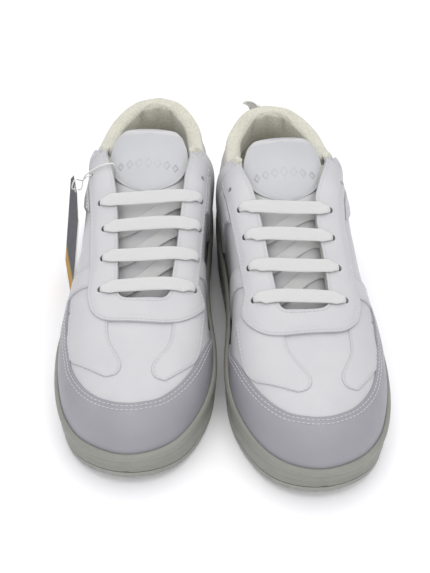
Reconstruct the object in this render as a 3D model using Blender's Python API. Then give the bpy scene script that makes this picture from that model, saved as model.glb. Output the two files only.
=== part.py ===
"""A pair of white lace-up cheer shoes, adult size (EU 40), modelled piece by piece.

Each shoe is drawn on a last: one smooth surface, last_point(b, t), that every panel follows.
  b runs round the sole edge: 0 at the toe tip, +1 at the heel by the lateral side, -1 by the medial side.
  t runs up the surface: 0 at the sole edge, 1 at the ridge of the foot or at the top line.
A panel is the stretch of that surface between two edges, given a thickness along the surface's normal.
Lengths are millimetres until a mesh is made. In a shoe's own frame s is the distance behind the toe tip,
x is towards the lateral side and z is the height above the ground. The left foot is drawn; the right is
its mirror image.
"""

import math

import bmesh
import bpy
import numpy as np
from mathutils import Matrix, Vector

MM = 0.001

# Driving dimensions of one shoe.
LENGTH = 286.0
TOE_SPRING = 8.0
HEEL_LIFT = 2.5
OUTSOLE = 4.2
GAP = 0.3
LIP = 5.0
WELT = 3.8
LEATHER = 1.2
OVERLAY = (0.6, 1.4)
EYESTAY = (1.9, 2.8)
LINING = (-4.2, -3.4)
STIFFENER = (-2.9, -2.0)
LACE_WIDTH = 9.4
ROW_SLANT = 0.1
LACE_THICK = 1.1
EYELET_HOLE = 3.0
LACE_HIGH = 4.0
LACE_LOW = -6.2
TONGUE_TOP = -8.4

# Where each shoe stands: centre x and y, and how far its toe turns outwards, in degrees.
PLACES = {"left": (53.9, -6.14, 5.6), "right": (-46.3, 4.66, 2.4)}

# Stations along the sole edge, toe to heel, and its half-widths there.
EDGE_S = [0, 5, 18, 40, 66, 94, 120, 146, 172, 198, 224, 250, 271, 282.5, 286]
EDGE_LATERAL = [-1, 18.5, 33.5, 43.5, 49, 50.5, 46.5, 42, 39.5, 39.5, 39, 36, 28, 15, 0]
EDGE_MEDIAL = [-1, -20.5, -34, -43.5, -48, -46.5, -42.5, -40, -39.5, -40, -39, -35.5, -28, -15, 0]
STATIONS = len(EDGE_S)

# The upper end of each station's rib: on the ridge as far as the ninth, then along the top line.
TOP_S = [36, 38, 44, 56, 74, 97, 121, 146, 173, 198, 223, 248, 267, 278, 281]
TOP_X = [0, 0, 0, 0, 0, 0, 0, 0, 0, 27, 37, 35.5, 27, 14, 0]
TOP_SHIFT = [0, 0, 0, 0, 0, 0, 0, 0, 0, 0.2, 2, 2.4, 2, 1, 0]
TOP_Z = [56, 56.3, 57.5, 60.5, 64, 70.5, 80.5, 92.5, 106, 113, 96, 92, 97, 102, 103.5]
# How a rib leaves the sole edge and reaches its upper end.
RISE = [21, 21, 22, 25, 29, 36, 46, 60, 70, 62, 28, 23, 26, 27, 27]
LEAN = [2.0, 2.0, 2.2, 2.5, 2.5, 1.5, 0.5, 0.5, 1.5, 3.0, 4.0, 3.5, 3.5, 3.5, 3.5]
REACH = [20, 20, 24, 31, 35, 40, 45, 50, 53, 24, 24, 22, 26, 28, 28]
DROP = [0, 0, 0, 0, 0, 0, 0, 1, 2, 30, 76, 85, 83, 83, 83]

# The lacing: four rows in use and one spare pair above them.
ROW_S = [99.5, 120.5, 140, 158, 180]
EYELET_X = [30.5, 31, 31.5, 33, 37]
BARS = 4
THROAT_S = [91, 104, 125, 145, 163, 181, 192]
THROAT_X = [15, 16.5, 18.5, 20, 22, 25, 28.5]
# The facings sit off centre, by these amounts on the lateral (1) and medial (-1) sides of each shoe.
EYELET_SHIFT = {
    "left": {1: [-4.4, -6, -7.5, -8, 0], -1: [0, 0, 0, 0, 0]},
    "right": {1: [-7.4, -7.4, -7, -4.4, 0], -1: [5, 5.2, 5, 3.6, 0]},
}
THROAT_SHIFT = {
    "left": {1: [0, 0, -2, -4.6, -5, -1.5, 0], -1: [0, 0, 0, 0, 0, 0, 0]},
    "right": {1: [-3.6, -3.6, -3.6, -3.2, -2.4, -1, 0], -1: [5, 5, 5, 4.6, 3.6, 1.6, 0]},
}

MATERIALS = {
    "white_leather": ((0.86, 0.86, 0.87), 0.42),
    "cream_textile": ((0.84, 0.83, 0.74), 0.9),
    "white_rubber": ((0.80, 0.80, 0.77), 0.55),
    "eva_foam": ((0.84, 0.84, 0.82), 0.65),
    "board": ((0.62, 0.55, 0.42), 0.9),
    "stiffener": ((0.70, 0.68, 0.62), 0.7),
    "lace_white": ((0.90, 0.90, 0.89), 0.85),
    "aglet_plastic": ((0.85, 0.87, 0.88), 0.2),
    "tag_card": ((0.12, 0.12, 0.14), 0.5),
    "tag_string": ((0.75, 0.75, 0.72), 0.7),
}


# ---------------------------------------------------------------- curves


def monotone(knots, values):
    """A smooth curve through the knots that never overshoots them (Fritsch-Carlson), flat at both ends."""
    k = np.asarray(knots, float)
    v = np.asarray(values, float)
    h, d = np.diff(k), np.diff(v) / np.diff(k)
    m = np.zeros_like(v)
    same = d[:-1] * d[1:] > 0
    w1, w2 = 2 * h[1:] + h[:-1], h[1:] + 2 * h[:-1]
    with np.errstate(divide="ignore", invalid="ignore"):
        mean = (w1 + w2) / (w1 / d[:-1] + w2 / d[1:])
    m[1:-1] = np.where(same, mean, 0.0)

    def at(x):
        x = np.clip(np.asarray(x, float), k[0], k[-1])
        i = np.clip(np.searchsorted(k, x, side="right") - 1, 0, len(h) - 1)
        u = (x - k[i]) / h[i]
        return (
            v[i] * (1 + 2 * u) * (1 - u) ** 2
            + m[i] * h[i] * u * (1 - u) ** 2
            + v[i + 1] * u**2 * (3 - 2 * u)
            + m[i + 1] * h[i] * u**2 * (u - 1)
        )

    return at


def closed_spline(values):
    """A curve with continuous curvature through values spaced evenly round a loop of parameter -1 to 1."""
    v = np.asarray(values, float)
    n = len(v)
    h = 2.0 / n
    ring = np.eye(n) * 4 + np.eye(n, k=1) + np.eye(n, k=-1)
    ring[0, -1] = ring[-1, 0] = 1
    second = np.linalg.solve(ring, 6 * (np.roll(v, -1) - 2 * v + np.roll(v, 1)) / h**2)

    def at(b):
        p = ((np.asarray(b, float) + 1) / h) % n
        i = np.floor(p).astype(int) % n
        j = (i + 1) % n
        u = p - np.floor(p)
        return (
            v[i] * (1 - u)
            + v[j] * u
            + h**2 / 6 * (((1 - u) ** 3 - (1 - u)) * second[i] + (u**3 - u) * second[j])
        )

    return at


def both_sides(lateral, medial):
    """Values at b = -1 up to just before +1, from the two sides' tables."""
    return list(medial[:0:-1]) + list(lateral[:-1])


EDGE_X_AT = closed_spline(both_sides(EDGE_LATERAL, EDGE_MEDIAL))
EDGE_S_AT = closed_spline(both_sides(EDGE_S, EDGE_S))
KNOTS = np.linspace(0, 1, STATIONS)
TOP_S_AT = monotone(KNOTS, TOP_S)
TOP_X_AT = monotone(KNOTS, TOP_X)
TOP_SHIFT_AT = monotone(KNOTS, TOP_SHIFT)
TOP_Z_AT = monotone(KNOTS, TOP_Z)
RISE_AT = monotone(KNOTS, RISE)
LEAN_AT = monotone(KNOTS, LEAN)
REACH_AT = monotone(KNOTS, REACH)
DROP_AT = monotone(KNOTS, DROP)
SOLE_TOP_AT = monotone([0, 60, 120, 200, 250, LENGTH], [24, 22.5, 24, 28, 31, 32])


def around(b):
    """b brought into -1 to 1, so that a panel may run past the heel."""
    return (np.asarray(b, float) + 1) % 2 - 1


def station(s):
    """The b whose rib stands at s, on the lateral side."""
    return float(np.interp(s, EDGE_S, KNOTS))


def sole_edge(b):
    """Points of the sole edge and the directions that point out of it, level."""
    step = 1e-4
    x, s = EDGE_X_AT(b), EDGE_S_AT(b)
    dx = EDGE_X_AT(b + step) - EDGE_X_AT(b - step)
    ds = EDGE_S_AT(b + step) - EDGE_S_AT(b - step)
    size = np.hypot(dx, ds)
    return x, s, ds / size, -dx / size


def ridge_slope(a):
    """The ridge's climb towards the heel, used while the ribs still end on the ridge."""
    a = np.minimum(a, KNOTS[8])
    step = 1e-3
    low, high = np.clip(a - step, 0.02, 1), np.clip(a + step, 0.04, 1)
    return (TOP_Z_AT(high) - TOP_Z_AT(low)) / (TOP_S_AT(high) - TOP_S_AT(low))


def last_point(b, t):
    """The last's surface: arrays b and t to points (x, s, z)."""
    b, t = np.broadcast_arrays(around(b), np.asarray(t, float))
    x, s, out_x, out_s = sole_edge(b)
    a, side = np.abs(b), np.sign(b)
    z = SOLE_TOP_AT(s)
    lean, rise = LEAN_AT(a), RISE_AT(a)
    reach, drop = REACH_AT(a), np.radians(DROP_AT(a))
    foot = np.stack([x, s, z], -1)
    foot_handle = np.stack([x + out_x * lean, s + out_s * lean, z + rise], -1)
    top = np.stack([side * TOP_X_AT(a) + TOP_SHIFT_AT(a), TOP_S_AT(a), TOP_Z_AT(a)], -1)
    level = reach * np.cos(drop)
    climb = ridge_slope(a) * out_s * level
    top_handle = top + np.stack([out_x * level, out_s * level, climb - reach * np.sin(drop)], -1)
    u = t[..., None]
    return (
        (1 - u) ** 3 * foot
        + 3 * (1 - u) ** 2 * u * foot_handle
        + 3 * (1 - u) * u**2 * top_handle
        + u**3 * top
    )


def last_normal(b, t):
    """The surface's outward direction, taken just short of the ridge, where it is well defined."""
    b, t = np.broadcast_arrays(np.asarray(b, float), np.asarray(t, float))
    near_ridge = np.clip((t - 0.85) / 0.15, 0, 1) * (np.abs(around(b)) < KNOTS[8] + 0.001)
    t = np.clip(t, 0.01, 0.97)
    db, dt = 1e-3, 1e-3
    along = last_point(b + db, t) - last_point(b - db, t)
    up = last_point(b, t + dt) - last_point(b, t - dt)
    n = np.cross(along, up)
    n = n / np.linalg.norm(n, axis=-1, keepdims=True)
    slope = ridge_slope(np.abs(around(b)))
    ridge = np.stack([0 * slope, -slope, 1 + 0 * slope], -1) / np.hypot(slope, 1)[..., None]
    n = n * (1 - near_ridge[..., None]) + ridge * near_ridge[..., None]
    return n / np.linalg.norm(n, axis=-1, keepdims=True)


def layer(b, t, height):
    """Points at a height above the last's surface; a negative height is inside it."""
    height = np.broadcast_to(np.asarray(height, float), np.broadcast(b, t).shape)
    return last_point(b, t) + last_normal(b, t) * height[..., None]


GRID_B = np.linspace(-1, 1, 241)
GRID_T = np.linspace(0.25, 1, 61)
GRID_POINTS = last_point(*np.meshgrid(GRID_B, GRID_T, indexing="ij"))


def find_on_last(x, s):
    """The (b, t) above each place (x, s) of a plan view, by Newton's method from the nearest sample."""
    x, s = np.broadcast_arrays(np.asarray(x, float), np.asarray(s, float))
    b, t = np.empty(x.shape), np.empty(x.shape)
    for i in np.ndindex(x.shape):
        away = (GRID_POINTS[..., 0] - x[i]) ** 2 + (GRID_POINTS[..., 1] - s[i]) ** 2
        away = away + 1e6 * (GRID_B[:, None] * x[i] < -1e-6)
        row, column = np.unravel_index(np.argmin(away), away.shape)
        b[i], t[i] = GRID_B[row], GRID_T[column]
    t = np.minimum(t, 0.995)
    for _ in range(6):
        here = last_point(b, t)
        db = (last_point(b + 1e-4, t) - here) / 1e-4
        dt = (last_point(b, t - 1e-4) - here) / -1e-4
        error_x, error_s = x - here[..., 0], s - here[..., 1]
        area = db[..., 0] * dt[..., 1] - db[..., 1] * dt[..., 0]
        area = np.where(np.abs(area) < 1e-3, 1e-3, area)
        b = b + np.clip((error_x * dt[..., 1] - error_s * dt[..., 0]) / area, -0.02, 0.02)
        t = t + np.clip((error_s * db[..., 0] - error_x * db[..., 1]) / area, -0.05, 0.05)
        t = np.clip(t, 0.05, 1.0)
    return b, t


def t_at_x(b, x):
    """The t at which a rib reaches the half-width x, counted from the ridge."""
    t = np.linspace(0.3, 1, 141)
    widths = np.abs(last_point(np.full_like(t, b), t)[:, 0])
    return float(np.interp(-x, -widths, t)) if widths[-1] < x else 1.0


# ---------------------------------------------------------------- meshes

FOOT = "left"


def to_world(points):
    """A shoe's own points in the pair's frame: mirrored for the right foot, turned and moved into place."""
    place_x, place_y, toe_out = PLACES[FOOT]
    hand = 1 if FOOT == "left" else -1
    turn = math.radians(toe_out) * hand
    p = np.asarray(points, float)
    x, y = p[..., 0] * hand, p[..., 1] - LENGTH / 2
    return np.stack(
        [
            x * math.cos(turn) - y * math.sin(turn) + place_x,
            x * math.sin(turn) + y * math.cos(turn) + place_y,
            p[..., 2],
        ],
        -1,
    )


def material(slot):
    found = bpy.data.materials.get(slot)
    if found:
        return found
    colour, roughness = MATERIALS[slot]
    made = bpy.data.materials.new(slot)
    made.use_nodes = True
    shader = made.node_tree.nodes["Principled BSDF"]
    shader.inputs["Base Color"].default_value = (*colour, 1)
    shader.inputs["Roughness"].default_value = roughness
    return made


def add_object(name, bm, slot, pivot=None):
    """One named object from a bmesh in a shoe's own millimetres; pivot is where a moving piece turns."""
    bmesh.ops.remove_doubles(bm, verts=bm.verts, dist=0.02)
    for v, co in zip(bm.verts, to_world(np.array([v.co for v in bm.verts]))):
        v.co = co
    bm.normal_update()
    bmesh.ops.recalc_face_normals(bm, faces=bm.faces)
    if bm.calc_volume(signed=True) < 0:
        bmesh.ops.reverse_faces(bm, faces=bm.faces)
    bm.transform(Matrix.Scale(MM, 4))
    place = Vector((0, 0, 0)) if pivot is None else Vector(to_world(np.array(pivot)) * MM)
    bm.transform(Matrix.Translation(-place))
    mesh = bpy.data.meshes.new(name)
    bm.to_mesh(mesh)
    bm.free()
    mesh.shade_smooth()
    mesh.set_sharp_from_angle(angle=math.radians(35))
    mesh.materials.append(material(slot))
    made = bpy.data.objects.new(f"{FOOT}_{name}", mesh)
    made.location = place
    bpy.context.scene.collection.objects.link(made)
    return made


def add_faces(bm, rows, closed=False):
    """Quads between neighbouring rows of points; closed joins each row's last point to its first."""
    grid = [[bm.verts.new(p) for p in row] for row in rows]
    for low, high in zip(grid, grid[1:]):
        n = len(low)
        for i in range(n if closed else n - 1):
            j = (i + 1) % n
            bm.faces.new((low[i], low[j], high[j], high[i]))
    return grid


def drop_flat_faces(bm):
    """Removes faces that lost a side when their doubled points were joined."""
    bmesh.ops.remove_doubles(bm, verts=bm.verts, dist=0.02)
    flat = [f for f in bm.faces if f.calc_area() < 1e-4]
    bmesh.ops.delete(bm, geom=flat, context="FACES_ONLY")


def plate(name, slot, outer, inner, joined_at_end=False, pivot=None):
    """A closed panel between an outer and an inner grid of points, with its four edges walled.
    joined_at_end leaves the last column open, for halves that meet there along the ridge."""
    bm = bmesh.new()
    top = add_faces(bm, outer)
    bottom = add_faces(bm, inner)
    rings = [([r[0] for r in top], [r[0] for r in bottom]), (top[0], bottom[0]), (top[-1], bottom[-1])]
    if not joined_at_end:
        rings.append(([r[-1] for r in top], [r[-1] for r in bottom]))
    for a, b in rings:
        for i in range(len(a) - 1):
            bm.faces.new((a[i], a[i + 1], b[i + 1], b[i]))
    drop_flat_faces(bm)
    return add_object(name, bm, slot, pivot)


SIDE_ROWS = [0, 0.32, 0.49, 0.60, 0.71, 0.82, 1]
LOW_ROWS = [0, 0.35, 0.60, 0.80, 1]


def panel(name, slot, bs, lows, highs, rows, heights, joined_at_end=False):
    """A plate on the last: at each b it runs from lows to highs in t, between two heights.
    rows is a count of even rows, or the shares of the way up at which they lie."""
    share = np.linspace(0, 1, rows + 1) if isinstance(rows, int) else np.array(rows)
    b = np.asarray(bs, float)[:, None] * np.ones(len(share))
    lows, highs = np.asarray(lows, float)[:, None], np.asarray(highs, float)[:, None]
    t = lows + (highs - lows) * share
    return plate(name, slot, layer(b, t, heights[1]), layer(b, t, heights[0]), joined_at_end)


def strip(name, slot, one_edge, other_edge, rows, heights):
    """A plate on the last between two edges drawn in plan, each a list of (x, s)."""
    a, c = np.asarray(one_edge, float)[:, None], np.asarray(other_edge, float)[:, None]
    share = np.linspace(0, 1, rows + 1)[None, :, None]
    places = a + (c - a) * share
    b, t = find_on_last(places[..., 0], places[..., 1])
    return plate(name, slot, layer(b, t, heights[1]), layer(b, t, heights[0]))


def loft(name, slot, rings, capped=True, pivot=None):
    """A closed body through rings of points, each ring a closed section, with flat ends."""
    bm = bmesh.new()
    grid = add_faces(bm, rings, closed=True)
    if capped:
        bm.faces.new(grid[0])
        bm.faces.new(grid[-1])
    else:
        n = len(grid[0])
        for i in range(n):
            j = (i + 1) % n
            bm.faces.new((grid[-1][i], grid[-1][j], grid[0][j], grid[0][i]))
    return add_object(name, bm, slot, pivot)


def slab(name, slot, outline, low, high, columns=4):
    """A body between two heights, each a function of s, inside an outline given as b to (x, s)."""
    n = 20
    lateral = outline(np.linspace(0, 1, n + 1))
    medial = outline(-np.linspace(0, 1, n + 1))
    share = np.linspace(0, 1, columns + 1)[:, None, None]
    flat = lateral + (medial - lateral) * share
    flat = np.swapaxes(flat, 0, 1)
    sides = [np.concatenate([flat, f(flat[..., 1])[..., None]], -1) for f in (high, low)]
    return plate(name, slot, *sides)


# ---------------------------------------------------------------- the sole


def sole_bottom(s):
    """Height of the ground face: flat in the middle, sprung up at the toe and a little at the heel."""
    s = np.asarray(s, float)
    toe = TOE_SPRING * np.clip(1 - s / 68, 0, None) ** 2
    heel = HEEL_LIFT * np.clip((s - 252) / (LENGTH - 252), 0, None) ** 2
    return toe + heel


def grown_edge(grow):
    """The sole edge moved outwards by grow, as a function from b to (x, s)."""

    def at(b):
        x, s, out_x, out_s = sole_edge(np.asarray(b, float))
        return np.stack([x + out_x * grow, s + out_s * grow], -1)

    return at


LOOP_B = np.linspace(-1, 1, 53)[:-1]


def make_outsole():
    """The rubber outsole: a plate that curves up at the toe and a little at the heel."""
    return slab(
        "outsole",
        "white_rubber",
        grown_edge(WELT - 0.8),
        sole_bottom,
        lambda s: sole_bottom(s) + OUTSOLE,
        columns=2,
    )


def make_midsole():
    """The cup that carries the upper: a solid foam bed with a lip that hugs the foot of the upper."""
    b = LOOP_B
    bed = layer(b, np.zeros_like(b), 1.9)
    bed[:, 2] -= 1.2
    lip_t = LIP / RISE_AT(np.abs(b)) / 3 * 1.15
    lip_in = layer(b, lip_t, 1.9)
    x, s = grown_edge(WELT)(b).T
    lip_out = np.stack([x, s, lip_in[:, 2] - 0.6], -1)
    waist = np.stack([*grown_edge(WELT - 0.2)(b).T, lip_in[:, 2] * 0.5 + sole_bottom(s) * 0.5], -1)
    x, s = grown_edge(WELT)(b).T
    foot = np.stack([x, s, sole_bottom(s) + OUTSOLE + GAP], -1)
    loops = [bed, lip_in, lip_out, waist, foot]
    bm = bmesh.new()
    grid = add_faces(bm, loops, closed=True)
    for loop in (grid[0], grid[-1]):
        half = len(loop) // 2
        toe = half
        lateral = [loop[(toe + i) % len(loop)] for i in range(half + 1)]
        medial = [loop[(toe - i) % len(loop)] for i in range(half + 1)]
        for i in range(half):
            corners = [lateral[i], lateral[i + 1], medial[i + 1], medial[i]]
            unique = list(dict.fromkeys(corners))
            bm.faces.new(unique)
    return add_object("midsole", bm, "eva_foam")


def inner_edge(inset):
    """The lining's foot moved inwards by inset, as a function from b to (x, s)."""

    def at(b):
        return layer(np.asarray(b, float), np.zeros(np.shape(b)), LINING[0] - inset)[..., :2]

    return at


def make_footbeds():
    bed = SOLE_TOP_AT
    slab("insole_board", "board", inner_edge(0.6), lambda s: bed(s) - 0.8, lambda s: bed(s) + 0.9, 1)
    slab("sockliner", "cream_textile", inner_edge(1.8), lambda s: bed(s) + 1.2, lambda s: bed(s) + 5.0, 2)


# ---------------------------------------------------------------- the upper

CAP_B = [0, 0.07, 0.13, 0.18, 0.23, 0.29, 0.37]
CAP_T_LATERAL = [0.70, 0.66, 0.59, 0.52, 0.46, 0.42, 0.38]
CAP_T_MEDIAL = [0.70, 0.66, 0.58, 0.52, 0.45, 0.35, 0.10]
CAP_LATERAL, CAP_MEDIAL = monotone(CAP_B, CAP_T_LATERAL), monotone(CAP_B, CAP_T_MEDIAL)
VAMP_END = station(88)
UPPER_FOOT = 0.012
STAY_END = station(192)
COLLAR_START = station(200)
STAY_WIDTH = {"left": {1: 20.0, -1: 20.0}, "right": {1: 18.8, -1: 18.4}}
SEAM = 0.0035


def cap_edge(b):
    """The toe cap's upper edge, as t on rib b."""
    return np.where(b > 0, CAP_LATERAL(np.abs(b)), CAP_MEDIAL(np.abs(b)))


def t_below(b, t, distance):
    """The t on rib b that lies a distance down the rib from t."""
    steps = np.linspace(t, 0, 161)
    path = last_point(np.full_like(steps, b), steps)
    run = np.concatenate([[0], np.cumsum(np.linalg.norm(np.diff(path, axis=0), axis=-1))])
    return float(np.interp(distance, run, steps))


def throat_x(s, sign):
    """How far out the facing's inner edge lies on one side, at a station."""
    return float(np.interp(s, THROAT_S, np.add(THROAT_X, THROAT_SHIFT[FOOT][sign])))


def eyelet_x(row, sign):
    return EYELET_X[row] + EYELET_SHIFT[FOOT][sign][row]


def row_s(row, x):
    """The station of a lacing row at x: the laced rows slant a little across the foot."""
    return ROW_S[row] - (ROW_SLANT * x if row < BARS else 0)


def eyelet_place(row, sign):
    x = sign * eyelet_x(row, sign)
    return x, row_s(row, x)


def throat_edge_t(b):
    """Where the inner edge of the facing crosses a rib."""
    s = float(TOP_S_AT(abs(b)))
    return min(t_at_x(b, throat_x(s, 1 if around(b) > 0 else -1)), 0.999)


QUARTER_TOP = monotone([COLLAR_START, 0.75, 0.86, 1.0], [0.90, 0.80, 0.80, 0.82])
LINING_TOP = monotone([COLLAR_START, 0.75, 0.86, 1.0], [0.62, 0.40, 0.46, 0.50])


def make_vamp():
    b = np.linspace(-VAMP_END, VAMP_END, 21)
    low, high = np.full_like(b, UPPER_FOOT), np.ones_like(b)
    panel("vamp", "white_leather", b, low, high, 6, (-LEATHER, 0.0), True)
    b, low, high = b[::2], low[::2], high[::2]
    panel("vamp_lining", "cream_textile", b, low + 0.01, high, 5, LINING, True)


def make_toe():
    b = np.linspace(-0.37, 0.37, 25)
    low = np.full_like(b, UPPER_FOOT)
    panel("toe_cap", "white_leather", b, low, cap_edge(b), 5, OVERLAY)
    b = np.linspace(-0.2, 0.2, 11)
    low = np.full_like(b, 0.06)
    panel("toe_puff", "stiffener", b, low, cap_edge(b) - 0.14, 3, STIFFENER)


WING_INNER = [(16.5, 36.3), (12, 37.4), (9.6, 40.5), (9.4, 45), (12.5, 51), (17, 58.5)]
WING_INNER += [(19.6, 67), (20.5, 78)]
WING_OUTER = [(18.2, 36.4), (22, 38.2), (26, 41.5), (30, 46), (33, 52), (35.5, 60), (37, 69), (38, 78)]
LOBE_SHIFT = {"left": 5.5, "right": -4.5}


def make_wings():
    for side, sign in (("lateral", 1), ("medial", -1)):
        edges = []
        for edge in (WING_INNER, WING_OUTER):
            bent = [(sign * x + LOBE_SHIFT[FOOT] * min(1, max(0, (36 - x) / 18)), s) for x, s in edge]
            edges.append(bent)
        strip(f"wing_{side}", "white_leather", *edges, 5, OVERLAY)


def leg_stations():
    return np.concatenate([np.linspace(VAMP_END + SEAM, 0.60, 8), [STAY_END]])


def quarter_columns():
    """Stations of a quarter and its upper edge: along the throat, then round the collar."""
    legs, collar = leg_stations(), np.linspace(COLLAR_START, 1 - SEAM / 2, 8)
    return np.concatenate([legs, collar])


def make_quarters():
    stations = quarter_columns()
    for side, sign in (("lateral", 1), ("medial", -1)):
        b = sign * stations
        top = [throat_edge_t(x) if abs(x) <= STAY_END else float(QUARTER_TOP(abs(x))) for x in b]
        name = f"quarter_{side}"
        body = panel(name, "white_leather", b, np.full_like(b, UPPER_FOOT), top, SIDE_ROWS, (-LEATHER, 0.0))
        drill(body, sign)


def make_lining():
    """The textile sleeve inside the quarters, from the vamp round the heel, below the collar roll."""
    side = quarter_columns()
    b = np.concatenate([side, 2 - side[::-1]])
    wrapped = around(b)
    top = []
    for x in wrapped:
        a = abs(x)
        top.append(throat_edge_t(x) - 0.004 if a <= STAY_END else float(LINING_TOP(a)))
    low = np.full_like(b, UPPER_FOOT + 0.01)
    body = panel("quarter_lining", "cream_textile", b, low, top, SIDE_ROWS, LINING)
    drill(body, 1)
    drill(body, -1)


def make_collar():
    """The padded roll round the ankle, its outer lip flush with the quarters and its pad inside them."""
    edge = np.concatenate([[COLLAR_START + 0.004], np.linspace(COLLAR_START, 1 - SEAM / 2, 8)[1:-1], [1]])
    b = np.concatenate([edge, (2 - edge[::-1])[1:]])
    rings = []
    for x in b:
        a = float(abs(around(x)))
        q, low = float(QUARTER_TOP(a)) + 0.012, float(LINING_TOP(a)) + 0.012
        swell = min(1.0, 0.25 + (a - COLLAR_START) / 0.1)
        pad = -3.4 - 6.6 * swell
        outline = [
            (q, -0.1),
            (0.5 * q + 0.5, 0.5),
            (0.985, -0.3),
            (1.0, -1.7),
            (1.0, 0.5 * pad),
            (0.985, pad + 0.9),
            (0.93, pad),
            (0.55 * q + 0.45 * low, pad + 0.2),
            (0.25 * q + 0.75 * low, pad * 0.75),
            (low, -5.0),
            (low, -2.0),
            (q - 0.012, -2.0),
        ]
        t = np.array([o[0] for o in outline])
        h = np.array([o[1] for o in outline])
        rings.append(layer(np.full_like(t, x), t, h))
    loft("collar", "cream_textile", rings)


def make_heel():
    """The leather panel that wraps the heel over the quarters' seam, and the stiffener inside it."""
    collar = np.linspace(COLLAR_START, 1 - SEAM / 2, 8)
    foot = [station(s) for s in (186, 192, 197, 203, 209)]
    lateral = [station(s) for s in (143, 160, 177, 191, 200)]
    medial = [station(s) for s in (156, 168, 180, 191, 200)]
    foot, lateral, medial = [np.concatenate([e, collar[1:-1], [1]]) for e in (foot, lateral, medial)]
    foot = np.concatenate([foot, (2 - foot[::-1])[1:]])
    head = np.concatenate([lateral, (2 - medial[::-1])[1:]])
    low = LIP / RISE_AT(np.abs(around(foot))) / 3 * 1.15 + 0.03
    top = []
    for x in around(head):
        a = abs(x)
        stay = t_below(x, throat_edge_t(x), stay_width(x) + 1.5) if a <= STAY_END else 1.0
        drop = 0.15 if a < COLLAR_START + 0.03 else 0.05
        top.append(min(stay, float(QUARTER_TOP(max(a, COLLAR_START))) - drop))
    rows = np.array([0, 0.35, 0.55, 0.70, 0.85, 1])
    patch("heel_panel", "white_leather", foot, head, low, top, rows, (1.2, 2.0))
    edge = np.concatenate([collar[2:-1], [1]])
    b = np.concatenate([edge, (2 - edge[::-1])[1:]])
    top = np.array([float(LINING_TOP(abs(x))) - 0.03 for x in around(b)])
    top = top * (0.72 + 0.28 * np.cos(np.linspace(-1.2, 1.2, len(b))))
    panel("heel_counter", "stiffener", b, np.full_like(b, 0.06), top, 4, STIFFENER)


def patch(name, slot, b_low, b_high, t_low, t_high, rows, heights):
    """A panel whose columns slant: each goes from (b_low, t_low) to (b_high, t_high)."""
    share = np.linspace(0, 1, rows + 1) if isinstance(rows, int) else rows
    ends = [np.asarray(v, float)[:, None] for v in (b_low, b_high, t_low, t_high)]
    b = ends[0] + (ends[1] - ends[0]) * share
    t = ends[2] + (ends[3] - ends[2]) * share
    plate(name, slot, layer(b, t, heights[1]), layer(b, t, heights[0]))


BAND_HEAD = {1: (0.366, 0.404), -1: (0.398, 0.438)}
BAND_FOOT = {1: (0.378, 0.418), -1: (0.452, 0.492)}


def make_side_bands():
    for side, sign in (("lateral", 1), ("medial", -1)):
        foot = sign * np.linspace(*BAND_FOOT[sign], 3)
        head = sign * np.linspace(*BAND_HEAD[sign], 3)
        top = [t_below(x, throat_edge_t(x), stay_width(x) - 1.5) for x in head]
        low = np.full_like(foot, UPPER_FOOT)
        patch(f"side_band_{side}", "white_leather", foot, head, low, top, 6, OVERLAY)


STAY_CORNER = {
    1: [(36.5, 97), (34.5, 89), (31, 82), (25, 77), (18, 74.8), (9, 74.3)],
    -1: [(38.5, 98), (37, 91), (33, 84), (26.5, 78), (18, 75.0), (9, 74.3)],
}
THROAT_CORNER = [(16.2, 101), (15.8, 97), (14.2, 93.6), (11.5, 91.8), (8, 91.1), (4, 91)]


def stay_width(b):
    return STAY_WIDTH[FOOT][1 if around(b) > 0 else -1]


def make_eyestay():
    """The facing that carries the eyelets: a U round the throat, drawn in plan round its closed end."""
    rows = 3
    share = np.linspace(0, 1, rows + 1)
    legs = []
    for sign in (1, -1):
        b = sign * np.linspace(STAY_END, station(105), 8)
        inner = np.array([throat_edge_t(x) for x in b])
        outer = np.array([t_below(x, t, stay_width(x)) for x, t in zip(b, inner)])
        legs.append((b[:, None] + 0 * share, inner[:, None] + (outer - inner)[:, None] * share))
    corner = []
    for sign in (1, -1):
        shift = THROAT_SHIFT[FOOT][sign][1]
        a = np.array([(sign * (x + shift * x / 16.2), s) for x, s in THROAT_CORNER])[:, None]
        wide = 1 + (shift + STAY_WIDTH[FOOT][sign] - 20) / 37
        c = np.array([(sign * x * wide, s) for x, s in STAY_CORNER[sign]])[:, None]
        places = a + (c - a) * share[None, :, None]
        corner.append(find_on_last(places[..., 0], places[..., 1]))
    middle = np.linspace(91, 74.2, rows + 1)[None]
    centre = find_on_last(0 * middle + 1e-3, middle)
    order = [legs[0], corner[0], centre, [v[::-1] for v in corner[1]], [v[::-1] for v in legs[1]]]
    b = np.concatenate([part[0] for part in order])
    t = np.concatenate([part[1] for part in order])
    body = plate("eyestay", "white_leather", layer(b, t, EYESTAY[1]), layer(b, t, EYESTAY[0]))
    drill(body, 1)
    drill(body, -1)


# ---------------------------------------------------------------- the lacing


def eyelet(row, sign):
    """An eyelet's place on the last: its point, and the directions out, across the foot and along it."""
    b, t = find_on_last(*eyelet_place(row, sign))
    b, t = float(b), float(t)
    point, out = last_point(b, t), last_normal(b, t)
    along = np.array([0.0, 1.0, 0.0]) - out * out[1]
    along = along / np.linalg.norm(along)
    across = np.cross(along, out)
    across = across * (1 if across[0] * sign > 0 else -1)
    return point, out, across, along


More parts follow.
